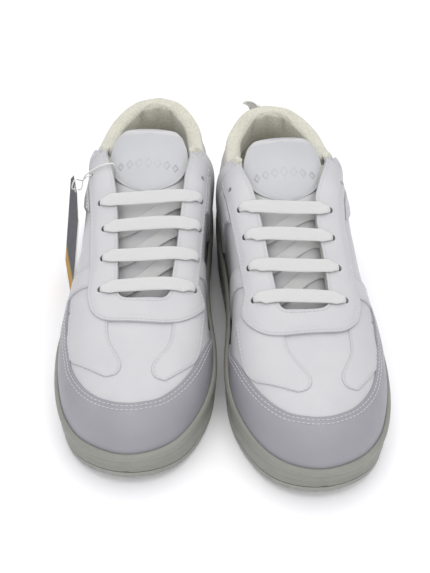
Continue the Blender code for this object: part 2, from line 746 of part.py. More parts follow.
def drill(body, sign):
    """Cuts the eyelet holes of one side through a panel."""
    for row in range(len(ROW_S)):
        point, out, across, along = eyelet(row, sign)
        turns = np.linspace(0, 2 * math.pi, 7)[:-1]
        rings = [
            [point + out * h + (across * math.cos(a) + along * math.sin(a)) * EYELET_HOLE for a in turns]
            for h in (-9.0, 8.0)
        ]
        cutter = loft(f"cutter_{row}", "stiffener", rings)
        cut = body.modifiers.new("eyelet", "BOOLEAN")
        cut.object = cutter
        cut.solver = "EXACT"
        bpy.context.view_layer.update()
        evaluated = body.evaluated_get(bpy.context.evaluated_depsgraph_get())
        done = bpy.data.meshes.new_from_object(evaluated)
        body.modifiers.clear()
        body.data = done
        bpy.data.objects.remove(cutter)


def lace_section(point, width_way, thick_way, width, thick):
    """A flat lace's cut."""
    w, t = width / 2, thick / 2
    corners = [(w, t), (-w, t), (-w, -t), (w, -t)]
    return [point + width_way * a + thick_way * c for a, c in corners]


def lace_turn(row, sign, down, outward):
    """Sections of the lace going through an eyelet: in from the bar and out beneath, or on outwards."""
    point, out, across, along = eyelet(row, sign)
    after = 1 if outward else -1
    low = LACE_LOW
    path = [
        (-4.2, LACE_HIGH, 7.0, 1.1, 0),
        (-2.0, LACE_HIGH, 5.2, 1.4, 25),
        (-0.5, LACE_HIGH - 0.9, 4.0, 1.7, 60),
        (0.0, LACE_HIGH - 2.4, 3.7, 1.9, 90),
        (0.0, low + 2.6, 3.7, 1.9, 90),
        (0.5 * after, low + 0.9, 4.0, 1.7, 60 if outward else 120),
        (2.0 * after, low, 5.2, 1.4, 20 if outward else 160),
        (4.2 * after, low - 0.4, 7.0, 1.1, 0 if outward else 180),
    ]
    sections = []
    for u, h, width, thick, angle in path:
        a = math.radians(angle)
        thick_way = out * math.cos(a) + across * math.sin(a)
        sections.append(lace_section(point + across * u + out * h, along, thick_way, width, thick))
    return sections if down else sections[::-1]


def lace_bar(row, start):
    """The visible run over the tongue, from the start side to the other."""
    ends = start * (eyelet_x(row, start) - 6.2), -start * (eyelet_x(row, -start) - 6.2)
    sections = []
    for x in np.linspace(*ends, 7):
        s = row_s(row, x)
        edge = throat_x(s, 1 if x > 0 else -1) + 1.0
        lift = LACE_HIGH - 1.5 * max(0.0, 1 - (x / edge) ** 2)
        b, t = find_on_last(x if abs(x) > 0.01 else 0.01, s)
        out = last_normal(b, t)
        along = np.array([0.0, 1.0, 0.0]) - out * out[1]
        along = along / np.linalg.norm(along)
        sections.append(lace_section(last_point(b, t) + out * lift, along, out, LACE_WIDTH, LACE_THICK))
    return sections


def lace_diagonal(row, start):
    """The hidden run under the facings, from one row's eyelet to the next row's on the other side."""
    sections = []
    begin, end = start * (eyelet_x(row, start) - 6.9), -start * (eyelet_x(row + 1, -start) - 6.9)
    for share in np.linspace(0, 1, 7):
        ease = share * share * (3 - 2 * share)
        x = begin + (end - begin) * share
        s = row_s(row, x) + (ROW_S[row + 1] - ROW_S[row]) * ease
        b, t = find_on_last(x if abs(x) > 0.01 else 0.01, s)
        out = last_normal(b, t)
        lift = LACE_LOW - 0.4
        turn = math.atan2((ROW_S[row + 1] - ROW_S[row]) * 6 * share * (1 - share), abs(end - begin))
        along = np.array([0.0, 1.0, 0.0]) - out * out[1]
        along = along / np.linalg.norm(along)
        across = np.cross(along, out)
        across = across * (1 if across[0] * start < 0 else -1)
        width_way = along * math.cos(turn) - across * math.sin(turn)
        sections.append(lace_section(last_point(b, t) + out * lift, width_way, out, LACE_WIDTH, LACE_THICK))
    return sections


TAIL = [7, 11, 15, 18.5]


def lace_tail(row, sign, outgoing):
    """The lace's end, tucked down between the lining and the foot."""
    b, t = [float(v) for v in find_on_last(*eyelet_place(row, sign))]
    sections = []
    for distance in TAIL:
        lower = t_below(b, t, distance)
        out = last_normal(b, lower)
        along = np.array([0.0, 1.0, 0.0]) - out * out[1]
        along = along / np.linalg.norm(along)
        place = last_point(b, lower) + out * (LACE_LOW - 0.4 - 0.05 * distance)
        taper = LACE_WIDTH if distance < 18 else 4.0
        sections.append(lace_section(place, along, out, taper, 1.3 if distance < 18 else 1.8))
    return sections if outgoing else sections[::-1]


def make_lace():
    """One lace: bars over the tongue, and one slanting run under each gap, both ends tucked inside."""
    start = 1 if FOOT == "left" else -1
    sections = lace_tail(0, start, False)
    for row in range(BARS):
        sections += lace_turn(row, start, False, row == 0)
        sections += lace_bar(row, start)
        sections += lace_turn(row, -start, True, row == BARS - 1)
        if row < BARS - 1:
            sections += lace_diagonal(row, -start)
    sections += lace_tail(BARS - 1, -start, True)
    loft("shoelace", "lace_white", follow(sections))
    for name, row, sign in (("aglet_lower", 0, start), ("aglet_upper", BARS - 1, -start)):
        b, t = [float(v) for v in find_on_last(*eyelet_place(row, sign))]
        rings = []
        for distance in (19.0, 19.6, 27.0, 29.4, 30.0):
            lower = t_below(b, t, distance)
            out = last_normal(b, lower)
            place = last_point(b, lower) + out * (LACE_LOW - 1.7)
            along = np.array([0.0, 1.0, 0.0]) - out * out[1]
            radius = 1.1 if distance in (19.0, 30.0) else 1.5
            turns = np.linspace(0, 2 * math.pi, 9)[:-1]
            rings.append([place + (along * math.cos(a) + out * math.sin(a)) * radius for a in turns])
        loft(name, "aglet_plastic", rings)


def follow(sections):
    """Turns each section's points so that they line up with the section before."""
    done = [np.array(sections[0])]
    for section in sections[1:]:
        s = np.array(section)
        choices = [np.roll(v, k, axis=0) for v in (s, s[::-1]) for k in range(4)]
        gaps = [np.linalg.norm(c - done[-1], axis=-1).sum() for c in choices]
        done.append(choices[int(np.argmin(gaps))])
    return done


# ---------------------------------------------------------------- the tongue

TONGUE_S = [86, 93, 105, 121, 138, 155, 171, 188, 200, 206.5, 209.5]
TONGUE_HALF = [20, 22, 25, 27, 28, 29, 30.5, 31, 29, 26, 20]
TONGUE_THICK = [1.6, 2.2, 3.6, 5.0, 6.0, 6.8, 7.4, 7.6, 6.8, 5.2, 3.4]
TONGUE_PLAIN_END = 171.0
TONGUE_PIVOT = (0.0, 87.0, 57.5)
TAB_PIVOT = (0.0, 289.0, 84.0)


def tongue_surface(x, s, depth):
    """A point a depth below the tongue's upper face; past the lacing the tongue runs on straight."""
    x, s = np.broadcast_arrays(np.asarray(x, float), np.asarray(s, float))
    inside = np.minimum(s, TONGUE_PLAIN_END)
    drop = TONGUE_TOP - depth
    near = np.where(np.abs(x) < 0.01, 0.01, x)
    b, t = find_on_last(near, inside)
    out = last_normal(b, t)
    point = last_point(b, t) + out * np.asarray(drop, float)[..., None]
    point[..., 0] = x + (point[..., 0] - near)
    beyond = s - inside
    point[..., 1] += beyond
    point[..., 2] += beyond * 0.42 + 0.018 * np.maximum(0, s - 194) ** 2
    return point


def tongue_plate(name, slot, s_values, halves, top_depths, thick, columns=6, crown=0.8):
    share = np.linspace(-1, 1, columns + 1)
    s = np.asarray(s_values, float)[:, None]
    x = np.asarray(halves, float)[:, None] * share
    edge = np.sqrt(np.clip(1 - share**4, 0.12, 1))
    depth = np.asarray(top_depths, float)[:, None] + 0 * share
    thickness = np.asarray(thick, float)[:, None] * edge
    high = tongue_surface(x, s + 0 * x, depth + crown * share**2)
    low = tongue_surface(x, s + 0 * x, depth + crown * share**2 + thickness)
    return plate(name, slot, high, low, pivot=TONGUE_PIVOT)


BADGE_S = [165.5, 168, 174, 181, 188, 195, 200.5, 203]
BADGE_HALF = [3, 11, 21.5, 27.5, 30, 29.6, 26.5, 21.5]


def make_tongue():
    tongue_plate("tongue", "white_leather", TONGUE_S, TONGUE_HALF, 0 * np.array(TONGUE_S), TONGUE_THICK)
    thick = np.array(TONGUE_THICK)
    halves = np.array(TONGUE_HALF) - 0.8
    tongue_plate("tongue_lining", "cream_textile", TONGUE_S, halves, thick + 0.4, 0 * thick + 1.0)
    badge = np.array(BADGE_S)
    tongue_plate("tongue_badge", "white_leather", BADGE_S, BADGE_HALF, 0 * badge - 1.5, 0 * badge + 1.0)


# ---------------------------------------------------------------- the heel tab and the swing tag


TAB_TOP = {"left": 104.0, "right": 96.0}
TAB_LEAN = {"left": -15.0, "right": 0.0}


def make_pull_tab():
    """A folded webbing loop sewn behind the heel's top edge; the left one has flopped over inwards."""
    side = [(290.4, 0), (290.8, 0.3), (290.4, 0.58), (289.0, 0.8), (286.8, 0.96), (284.4, 1)]
    side += [(284.0, 0.94), (286.2, 0.9), (287.8, 0.76), (289.0, 0.56), (289.4, 0.3), (289.0, 0)]
    rings = []
    for x in (-5.5, -2.75, 0, 2.75, 5.5):
        ring = []
        for s, share in side:
            z = 84 + (TAB_TOP[FOOT] - 84 - 3.2 * abs(x / 5.5) ** 3) * share
            lean = TAB_LEAN[FOOT] * max(0, share - 0.15) ** 1.4
            ring.append(np.array([x + lean, s - 0.012 * x * x, z - 0.25 * x * share * (lean < 0)]))
        rings.append(ring)
    loft("pull_tab", "cream_textile", rings, pivot=TAB_PIVOT)


TAG_TOP = (48.7, 172.0, 97.0)
TAG_TILT = 9.5
TAG_TURN = 15.5
TAG_SIZE = (93.0, 46.0, 0.8)


def tag_frame():
    """The tag's hole, and its directions: down the card, across it and out of its face."""
    tilt, turn = math.radians(TAG_TILT), math.radians(TAG_TURN)
    down = np.array([math.sin(tilt), 0.0, -math.cos(tilt)])
    level, out = np.array([0.0, -1.0, 0.0]), np.array([math.cos(tilt), 0.0, math.sin(tilt)])
    across = level * math.cos(turn) - out * math.sin(turn)
    return np.array(TAG_TOP), down, across, out * math.cos(turn) + level * math.sin(turn)


def make_tag():
    """A chamfered card hung by a string loop from the spare eyelet, leaning on the shoe's outer side."""
    top, down, across, face = tag_frame()
    length, width, thick = TAG_SIZE
    cut = 13.0
    outline = [(-1.5, -width / 2 + cut), (-1.5, width / 2 - cut), (cut - 1.5, width / 2)]
    outline += [(length - 3, width / 2), (length - 3, -width / 2), (cut - 1.5, -width / 2)]
    ring = np.linspace(0, 2 * math.pi, 17)[:-1]
    hole = [(2.8 * math.cos(a) + 2.5, 2.8 * math.sin(a)) for a in ring]
    bm = bmesh.new()
    rims = []
    for lift in (-thick / 2, thick / 2):
        outer = [bm.verts.new(top + down * d + across * a + face * lift) for d, a in outline]
        inner = [bm.verts.new(top + down * d + across * a + face * lift) for d, a in hole]
        edges = [bm.edges.new((r[i], r[(i + 1) % len(r)])) for r in (outer, inner) for i in range(len(r))]
        bmesh.ops.triangle_fill(bm, edges=edges, use_beauty=True)
        rims.append((outer, inner))
    for k in (0, 1):
        low, high = rims[0][k], rims[1][k]
        for i in range(len(low)):
            j = (i + 1) % len(low)
            bm.faces.new((low[i], low[j], high[j], high[i]))
    add_object("swing_tag", bm, "tag_card", tuple(top + down * 2.5))


def make_tag_string():
    """A closed loop of string through the spare eyelet and the tag's hole."""
    top, down, across, face = tag_frame()
    point, out, side, along = eyelet(4, 1)
    b, t = [float(v) for v in find_on_last(*eyelet_place(4, 1))]
    edge = throat_edge_t(b)
    hole = top + down * 2.5

    def on_facing(lift, share, shift):
        """A point between the eyelet (share 0) and the facing's inner edge (share 1)."""
        return layer(np.array([b]), np.array([t + (edge - t) * share]), lift)[0] + along * shift

    knots = [
        hole + face * 2.4 - down * 0.5,
        hole + down * 0.4,
        hole - face * 3.8 + down * 0.2,
        point + out * 5.0 + side * 6.0 + along * 0.8,
        on_facing(4.6, 0.0, 1.6),
        on_facing(4.4, 0.6, 1.4),
        on_facing(3.6, 1.0, 0.8) - side * 1.6,
        on_facing(-1.0, 1.0, 0.3) - side * 2.4,
        on_facing(-5.3, 0.97, 0.0) - side * 0.6,
        on_facing(-5.6, 0.5, 0.0),
        on_facing(-5.2, 0.05, 0.0),
        on_facing(-1.5, 0.0, -0.2),
        on_facing(3.0, 0.0, -0.8),
        point + out * 4.8 + side * 2.2 - along * 1.2,
        point + out * 5.4 + side * 6.5 - along * 1.2,
        top - down * 5.0 + face * 0.9,
    ]
    loft("tag_string", "tag_string", tube(knots, 0.5, 44), capped=False)


def tube(knots, radius, count):
    """Rings along a closed smooth curve through the knots (Catmull-Rom)."""
    k = np.array(knots)
    n = len(k)
    path = []
    for i in range(count):
        u = i / count * n
        j, f = int(u), u - int(u)
        p = [k[(j + d) % n] for d in (-1, 0, 1, 2)]
        path.append(
            0.5
            * (
                2 * p[1]
                + (p[2] - p[0]) * f
                + (2 * p[0] - 5 * p[1] + 4 * p[2] - p[3]) * f**2
                + (3 * p[1] - p[0] - 3 * p[2] + p[3]) * f**3
            )
        )
    path = np.array(path)
    rings = []
    for i in range(count):
        ahead = path[(i + 1) % count] - path[i - 1]
        ahead = ahead / np.linalg.norm(ahead)
        side = np.cross(ahead, [0.1, 1.0, 0.2])
        side = side / np.linalg.norm(side)
        other = np.cross(ahead, side)
        turns = ((1, 0), (0, 1), (-1, 0), (0, -1))
        rings.append([path[i] + (side * c + other * d) * radius for c, d in turns])
    return rings


def main():
    for old in list(bpy.data.objects):
        bpy.data.objects.remove(old)
    global FOOT
    for FOOT in ("left", "right"):
        make_outsole()
        make_midsole()
        make_footbeds()
        make_vamp()
        make_toe()
        make_wings()
        make_quarters()
        make_lining()
        make_collar()
        make_heel()
        make_side_bands()
        make_eyestay()
        make_lace()
        make_tongue()
        make_pull_tab()
    make_tag()
    make_tag_string()


main()
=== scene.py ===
"""The looks of a pair of white lace-up cheer shoes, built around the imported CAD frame.

Every piece is drawn on the same last as the CAD solids: one smooth surface, last_point(b, t).
  b runs round the sole edge: 0 at the toe tip, +1 at the heel by the lateral side, -1 by the medial side.
  t runs up the surface: 0 at the sole edge, 1 at the ridge of the foot or at the top line.
Lengths are millimetres until a mesh is made. In a shoe's own frame s is the distance behind the toe tip,
x is towards the lateral side and z is the height above the ground. The left foot is drawn; the right is
its mirror image.
"""

import math

import bmesh
import bpy
import numpy as np
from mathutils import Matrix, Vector


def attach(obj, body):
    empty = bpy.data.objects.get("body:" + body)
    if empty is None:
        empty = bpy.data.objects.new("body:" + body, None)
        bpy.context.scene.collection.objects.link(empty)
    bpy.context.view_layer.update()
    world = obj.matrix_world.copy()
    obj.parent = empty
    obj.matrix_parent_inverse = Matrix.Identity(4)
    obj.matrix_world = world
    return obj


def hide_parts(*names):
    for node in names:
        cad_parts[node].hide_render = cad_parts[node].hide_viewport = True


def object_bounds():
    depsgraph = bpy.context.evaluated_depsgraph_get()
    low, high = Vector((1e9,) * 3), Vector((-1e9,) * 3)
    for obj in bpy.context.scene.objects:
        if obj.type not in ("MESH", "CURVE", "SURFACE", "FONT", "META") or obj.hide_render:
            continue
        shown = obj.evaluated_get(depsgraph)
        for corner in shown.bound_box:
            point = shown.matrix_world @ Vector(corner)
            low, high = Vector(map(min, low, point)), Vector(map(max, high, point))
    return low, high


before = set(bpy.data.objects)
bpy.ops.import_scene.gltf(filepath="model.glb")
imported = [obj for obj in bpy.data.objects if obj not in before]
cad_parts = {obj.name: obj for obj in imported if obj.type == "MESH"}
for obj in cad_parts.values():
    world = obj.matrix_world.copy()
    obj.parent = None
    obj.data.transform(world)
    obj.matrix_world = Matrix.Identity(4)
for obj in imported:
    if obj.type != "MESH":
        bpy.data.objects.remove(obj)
CAD_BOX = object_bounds()

MM = 0.001
FOOT = "left"

# The last and the sole, in the CAD's own terms.
LENGTH = 286.0
TOE_SPRING = 8.0
HEEL_LIFT = 2.5
OUTSOLE = 4.2
GAP = 0.3
LIP = 5.0
WELT = 3.8
LEATHER = 1.2
OVERLAY = (-0.25, 1.15)
EYESTAY = (-0.25, 2.15)
LINING = (-4.2, -3.4)
STIFFENER = (-2.9, -2.0)
LACE_WIDTH = 9.4
ROW_SLANT = 0.1
LACE_THICK = 1.1
LACE_HIGH = 3.5
LACE_LOW = -6.2
TONGUE_TOP = -8.4
PLACES = {"left": (53.9, -6.14, 5.6), "right": (-46.3, 4.66, 2.4)}

EDGE_S = [0, 5, 18, 40, 66, 94, 120, 146, 172, 198, 224, 250, 271, 282.5, 286]
EDGE_LATERAL = [-1, 18.5, 33.5, 43.5, 49, 50.5, 46.5, 42, 39.5, 39.5, 39, 36, 28, 15, 0]
EDGE_MEDIAL = [-1, -20.5, -34, -43.5, -48, -46.5, -42.5, -40, -39.5, -40, -39, -35.5, -28, -15, 0]
STATIONS = len(EDGE_S)
TOP_S = [36, 38, 44, 56, 74, 97, 121, 146, 173, 198, 223, 248, 267, 278, 281]
TOP_X = [0, 0, 0, 0, 0, 0, 0, 0, 0, 27, 37, 35.5, 27, 14, 0]
TOP_SHIFT = [0, 0, 0, 0, 0, 0, 0, 0, 0, 0.2, 2, 2.4, 2, 1, 0]
TOP_Z = [56, 56.3, 57.5, 60.5, 64, 70.5, 80.5, 92.5, 106, 113, 96, 92, 97, 102, 103.5]
RISE = [21, 21, 22, 25, 29, 36, 46, 60, 70, 62, 28, 23, 26, 27, 27]
LEAN = [2.0, 2.0, 2.2, 2.5, 2.5, 1.5, 0.5, 0.5, 1.5, 3.0, 4.0, 3.5, 3.5, 3.5, 3.5]
REACH = [20, 20, 24, 31, 35, 40, 45, 50, 53, 24, 24, 22, 26, 28, 28]
DROP = [0, 0, 0, 0, 0, 0, 0, 1, 2, 30, 76, 85, 83, 83, 83]

ROW_S = [99.5, 120.5, 140, 158, 180]
EYELET_X = [30.5, 31, 31.5, 33, 37]
BARS = 4
SPARE_ROW = 4
THROAT_S = [91, 104, 125, 145, 163, 181, 192]
THROAT_X = [15, 16.5, 18.5, 20, 22, 25, 28.5]
# The facings sit off centre, by these amounts on the lateral (1) and medial (-1) sides of each shoe.
EYELET_SHIFT = {
    "left": {1: [-4.4, -6, -7.5, -8, 0], -1: [0, 0, 0, 0, 0]},
    "right": {1: [-7.4, -7.4, -7, -4.4, 0], -1: [5, 5.2, 5, 3.6, 0]},
}
THROAT_SHIFT = {
    "left": {1: [0, 0, -2, -4.6, -5, -1.5, 0], -1: [0, 0, 0, 0, 0, 0, 0]},
    "right": {1: [-3.6, -3.6, -3.6, -3.2, -2.4, -1, 0], -1: [5, 5, 5, 4.6, 3.6, 1.6, 0]},
}
SIDES = (("lateral", 1), ("medial", -1))


# ---------------------------------------------------------------- curves and the last


def unit(v):
    """Vectors brought to length 1."""
    return v / np.linalg.norm(v, axis=-1, keepdims=True)


def run_along(p):
    """Distances along a line of points from its first one."""
    return np.concatenate([[0], np.cumsum(np.linalg.norm(np.diff(p, axis=0), axis=-1))])


def bell(x):
    """A smooth hump: 1 at 0, and next to nothing past 2."""
    return np.exp(-np.square(x))


def circle(count):
    """Angles spaced evenly round a circle."""
    return np.linspace(0, 2 * math.pi, count + 1)[:-1]


def raised(plan, z):
    """The points of a plan view at their heights."""
    return np.concatenate([plan, z[..., None]], -1)


def hermite(v, slope, i, h, u):
    """The cubic between knots i and i + 1, a distance h apart, at the share u of the way."""
    return (
        v[i] * (1 + 2 * u) * (1 - u) ** 2
        + slope[i] * h * u * (1 - u) ** 2
        + v[i + 1] * u**2 * (3 - 2 * u)
        + slope[i + 1] * h * u**2 * (u - 1)
    )


def monotone(knots, values):
    """A smooth curve through the knots that never overshoots them (Fritsch-Carlson), flat at both ends."""
    k = np.asarray(knots, float)
    v = np.asarray(values, float)
    h, d = np.diff(k), np.diff(v) / np.diff(k)
    m = np.zeros_like(v)
    same = d[:-1] * d[1:] > 0
    w1, w2 = 2 * h[1:] + h[:-1], h[1:] + 2 * h[:-1]
    with np.errstate(divide="ignore", invalid="ignore"):
        mean = (w1 + w2) / (w1 / d[:-1] + w2 / d[1:])
    m[1:-1] = np.where(same, mean, 0.0)

    def at(x):
        x = np.clip(np.asarray(x, float), k[0], k[-1])
        i = np.clip(np.searchsorted(k, x, side="right") - 1, 0, len(h) - 1)
        return hermite(v, m, i, h[i], (x - k[i]) / h[i])

    return at


def closed_spline(values):
    """A curve with continuous curvature through values spaced evenly round a loop of parameter -1 to 1."""
    v = np.asarray(values, float)
    n = len(v)
    h = 2.0 / n
    ring = np.eye(n) * 4 + np.eye(n, k=1) + np.eye(n, k=-1)
    ring[0, -1] = ring[-1, 0] = 1
    second = np.linalg.solve(ring, 6 * (np.roll(v, -1) - 2 * v + np.roll(v, 1)) / h**2)

    def at(b):
        p = ((np.asarray(b, float) + 1) / h) % n
        i = np.floor(p).astype(int) % n
        j = (i + 1) % n
        u = p - np.floor(p)
        return (
            v[i] * (1 - u)
            + v[j] * u
            + h**2 / 6 * (((1 - u) ** 3 - (1 - u)) * second[i] + (u**3 - u) * second[j])
        )

    return at


def both_sides(lateral, medial):
    """Values at b = -1 up to just before +1, from the two sides' tables."""
    return list(medial[:0:-1]) + list(lateral[:-1])


def smooth_through(points, count, closed=False):
    """Points spaced evenly along a Catmull-Rom curve through the given ones."""
    p = np.asarray(points, float)
    n = len(p)
    spans = n if closed else n - 1
    u = np.linspace(0, spans, spans * 24 + 1)
    i = np.minimum(u.astype(int), spans - 1)
    f = (u - i)[:, None]

    def knot(j):
        return p[j % n] if closed else p[np.clip(j, 0, n - 1)]

    a, b, c, d = knot(i - 1), knot(i), knot(i + 1), knot(i + 2)
    path = 0.5 * (2 * b + (c - a) * f + (2 * a - 5 * b + 4 * c - d) * f**2 + (3 * b - a - 3 * c + d) * f**3)
    run = run_along(path)
    at = np.linspace(0, run[-1], count + 1)[:-1] if closed else np.linspace(0, run[-1], count)
    return np.stack([np.interp(at, run, path[:, k]) for k in range(p.shape[1])], -1)


EDGE_X_AT = closed_spline(both_sides(EDGE_LATERAL, EDGE_MEDIAL))
EDGE_S_AT = closed_spline(both_sides(EDGE_S, EDGE_S))
KNOTS = np.linspace(0, 1, STATIONS)
TOP_S_AT, TOP_X_AT, TOP_SHIFT_AT, TOP_Z_AT = [monotone(KNOTS, v) for v in (TOP_S, TOP_X, TOP_SHIFT, TOP_Z)]
RISE_AT, LEAN_AT, REACH_AT, DROP_AT = [monotone(KNOTS, v) for v in (RISE, LEAN, REACH, DROP)]
SOLE_TOP_AT = monotone([0, 60, 120, 200, 250, LENGTH], [24, 22.5, 24, 28, 31, 32])


def around(b):
    """b brought into -1 to 1, so that a panel may run past the heel."""
    return (np.asarray(b, float) + 1) % 2 - 1


def station(s):
    """The b whose rib stands at s, on the lateral side."""
    return float(np.interp(s, EDGE_S, KNOTS))


def sole_edge(b):
    """Points of the sole edge and the directions that point out of it, level."""
    step = 1e-4
    x, s = EDGE_X_AT(b), EDGE_S_AT(b)
    dx = EDGE_X_AT(b + step) - EDGE_X_AT(b - step)
    ds = EDGE_S_AT(b + step) - EDGE_S_AT(b - step)
    size = np.hypot(dx, ds)
    return x, s, ds / size, -dx / size


def ridge_slope(a):
    """The ridge's climb towards the heel, used while the ribs still end on the ridge."""
    a = np.minimum(a, KNOTS[8])
    step = 1e-3
    low, high = np.clip(a - step, 0.02, 1), np.clip(a + step, 0.04, 1)
    return (TOP_Z_AT(high) - TOP_Z_AT(low)) / (TOP_S_AT(high) - TOP_S_AT(low))


def last_point(b, t):
    """The last's surface: arrays b and t to points (x, s, z)."""
    b, t = np.broadcast_arrays(around(b), np.asarray(t, float))
    x, s, out_x, out_s = sole_edge(b)
    a, side = np.abs(b), np.sign(b)
    z = SOLE_TOP_AT(s)
    lean, rise = LEAN_AT(a), RISE_AT(a)
    reach, drop = REACH_AT(a), np.radians(DROP_AT(a))
    foot = np.stack([x, s, z], -1)
    foot_handle = np.stack([x + out_x * lean, s + out_s * lean, z + rise], -1)
    top = np.stack([side * TOP_X_AT(a) + TOP_SHIFT_AT(a), TOP_S_AT(a), TOP_Z_AT(a)], -1)
    level = reach * np.cos(drop)
    climb = ridge_slope(a) * out_s * level
    top_handle = top + np.stack([out_x * level, out_s * level, climb - reach * np.sin(drop)], -1)
    u = t[..., None]
    return (
        (1 - u) ** 3 * foot
        + 3 * (1 - u) ** 2 * u * foot_handle
        + 3 * (1 - u) * u**2 * top_handle
        + u**3 * top
    )


def last_normal(b, t):
    """The surface's outward direction, taken just short of the ridge, where it is well defined."""
    b, t = np.broadcast_arrays(np.asarray(b, float), np.asarray(t, float))
    near_ridge = np.clip((t - 0.85) / 0.15, 0, 1) * (np.abs(around(b)) < KNOTS[8] + 0.001)
    t = np.clip(t, 0.01, 0.97)
    step = 1e-3
    along = last_point(b + step, t) - last_point(b - step, t)
    up = last_point(b, t + step) - last_point(b, t - step)
    n = unit(np.cross(along, up))
    slope = ridge_slope(np.abs(around(b)))
    ridge = np.stack([0 * slope, -slope, 1 + 0 * slope], -1) / np.hypot(slope, 1)[..., None]
    return unit(n * (1 - near_ridge[..., None]) + ridge * near_ridge[..., None])


def hand_shaped(p):
    """The small unevenness of leather pulled over a last by hand, in millimetres."""
    x, s, z = p[..., 0], p[..., 1], p[..., 2]
    phase = 0.0 if FOOT == "left" else 2.1
    waves = np.sin(x * 0.17 + s * 0.11 + phase) * np.cos(s * 0.075 - z * 0.09 + phase)
    folds = np.sin(s * 0.31 + x * 0.06 + z * 0.13 + 2 * phase) * np.sin(x * 0.12 - s * 0.05)
    return 0.16 * waves + 0.09 * folds


def layer(b, t, height):
    """Points at a height above the last's surface; a negative height is inside it."""
    height = np.broadcast_to(np.asarray(height, float), np.broadcast(b, t).shape)
    p = last_point(b, t)
    return p + last_normal(b, t) * (height + hand_shaped(p))[..., None]


GRID_B = np.linspace(-1, 1, 241)
GRID_T = np.linspace(0.25, 1, 61)
GRID_POINTS = last_point(*np.meshgrid(GRID_B, GRID_T, indexing="ij"))


def find_on_last(x, s):
    """The (b, t) above each place (x, s) of a plan view, by Newton's method from the nearest sample."""
    x, s = np.broadcast_arrays(np.asarray(x, float), np.asarray(s, float))
    b, t = np.empty(x.shape), np.empty(x.shape)
    for i in np.ndindex(x.shape):
        away = (GRID_POINTS[..., 0] - x[i]) ** 2 + (GRID_POINTS[..., 1] - s[i]) ** 2
        away = away + 1e6 * (GRID_B[:, None] * x[i] < -1e-6)
        row, column = np.unravel_index(np.argmin(away), away.shape)
        b[i], t[i] = GRID_B[row], GRID_T[column]
    t = np.minimum(t, 0.995)
    for _ in range(8):
        here = last_point(b, t)
        db = (last_point(b + 1e-4, t) - here) / 1e-4
        dt = (last_point(b, t - 1e-4) - here) / -1e-4
        error_x, error_s = x - here[..., 0], s - here[..., 1]
        area = db[..., 0] * dt[..., 1] - db[..., 1] * dt[..., 0]
        area = np.where(np.abs(area) < 1e-3, 1e-3, area)
        b = b + np.clip((error_x * dt[..., 1] - error_s * dt[..., 0]) / area, -0.02, 0.02)
        t = t + np.clip((error_s * db[..., 0] - error_x * db[..., 1]) / area, -0.05, 0.05)
        t = np.clip(t, 0.05, 1.0)
    return b, t


def t_at_x(b, x):
    """The t at which a rib reaches the half-width x, counted from the ridge."""
    t = np.linspace(0.3, 1, 281)
    widths = np.abs(last_point(np.full_like(t, b), t)[:, 0])
    return float(np.interp(-x, -widths, t)) if widths[-1] < x else 1.0


def t_below(b, t, distance):
    """The t on rib b that lies a distance down the rib from t."""
    steps = np.linspace(t, 0, 161)
    return float(np.interp(distance, run_along(last_point(np.full_like(steps, b), steps)), steps))


def throat_x(s, sign):
    """How far out the facing's inner edge lies on one side, at a station."""
    return float(np.interp(s, THROAT_S, np.add(THROAT_X, THROAT_SHIFT[FOOT][sign])))


def eyelet_x(row, sign):
    return EYELET_X[row] + EYELET_SHIFT[FOOT][sign][row]


def row_s(row, x):
    """The station of a lacing row at x: the laced rows slant a little across the foot."""
    return ROW_S[row] - (ROW_SLANT * x if row < BARS else 0)


def eyelet_place(row, sign):
    x = sign * eyelet_x(row, sign)
    return x, row_s(row, x)


def throat_edge_t(b):
    """Where the inner edge of the facing crosses a rib."""
    s = float(TOP_S_AT(abs(b)))
    return min(t_at_x(b, throat_x(s, 1 if around(b) > 0 else -1)), 0.999)


# ---------------------------------------------------------------- meshes


def to_world(points):
    """A shoe's own points in the pair's frame: mirrored for the right foot, turned and moved into place."""
    place_x, place_y, toe_out = PLACES[FOOT]
    hand = 1 if FOOT == "left" else -1
    turn = math.radians(toe_out) * hand
    p = np.asarray(points, float)
    x, y = p[..., 0] * hand, p[..., 1] - LENGTH / 2
    across = x * math.cos(turn) - y * math.sin(turn) + place_x
    back = x * math.sin(turn) + y * math.cos(turn) + place_y
    return np.stack([across, back, p[..., 2]], -1)


def signed_volume(points, faces):
    """Six times the volume that the faces enclose, negative if they point inwards."""
    total = 0.0
    for size in {len(f) for f in faces}:
        f = np.array([g for g in faces if len(g) == size])
        for k in range(1, size - 1):
            a, b, c = points[f[:, 0]], points[f[:, k]], points[f[:, k + 1]]
            total += float(np.einsum("ij,ij->", a, np.cross(b, c)))
    return total


def linked(name, data):
    """A new object in the scene."""
    made = bpy.data.objects.new(name, data)
    bpy.context.scene.collection.objects.link(made)
    return made


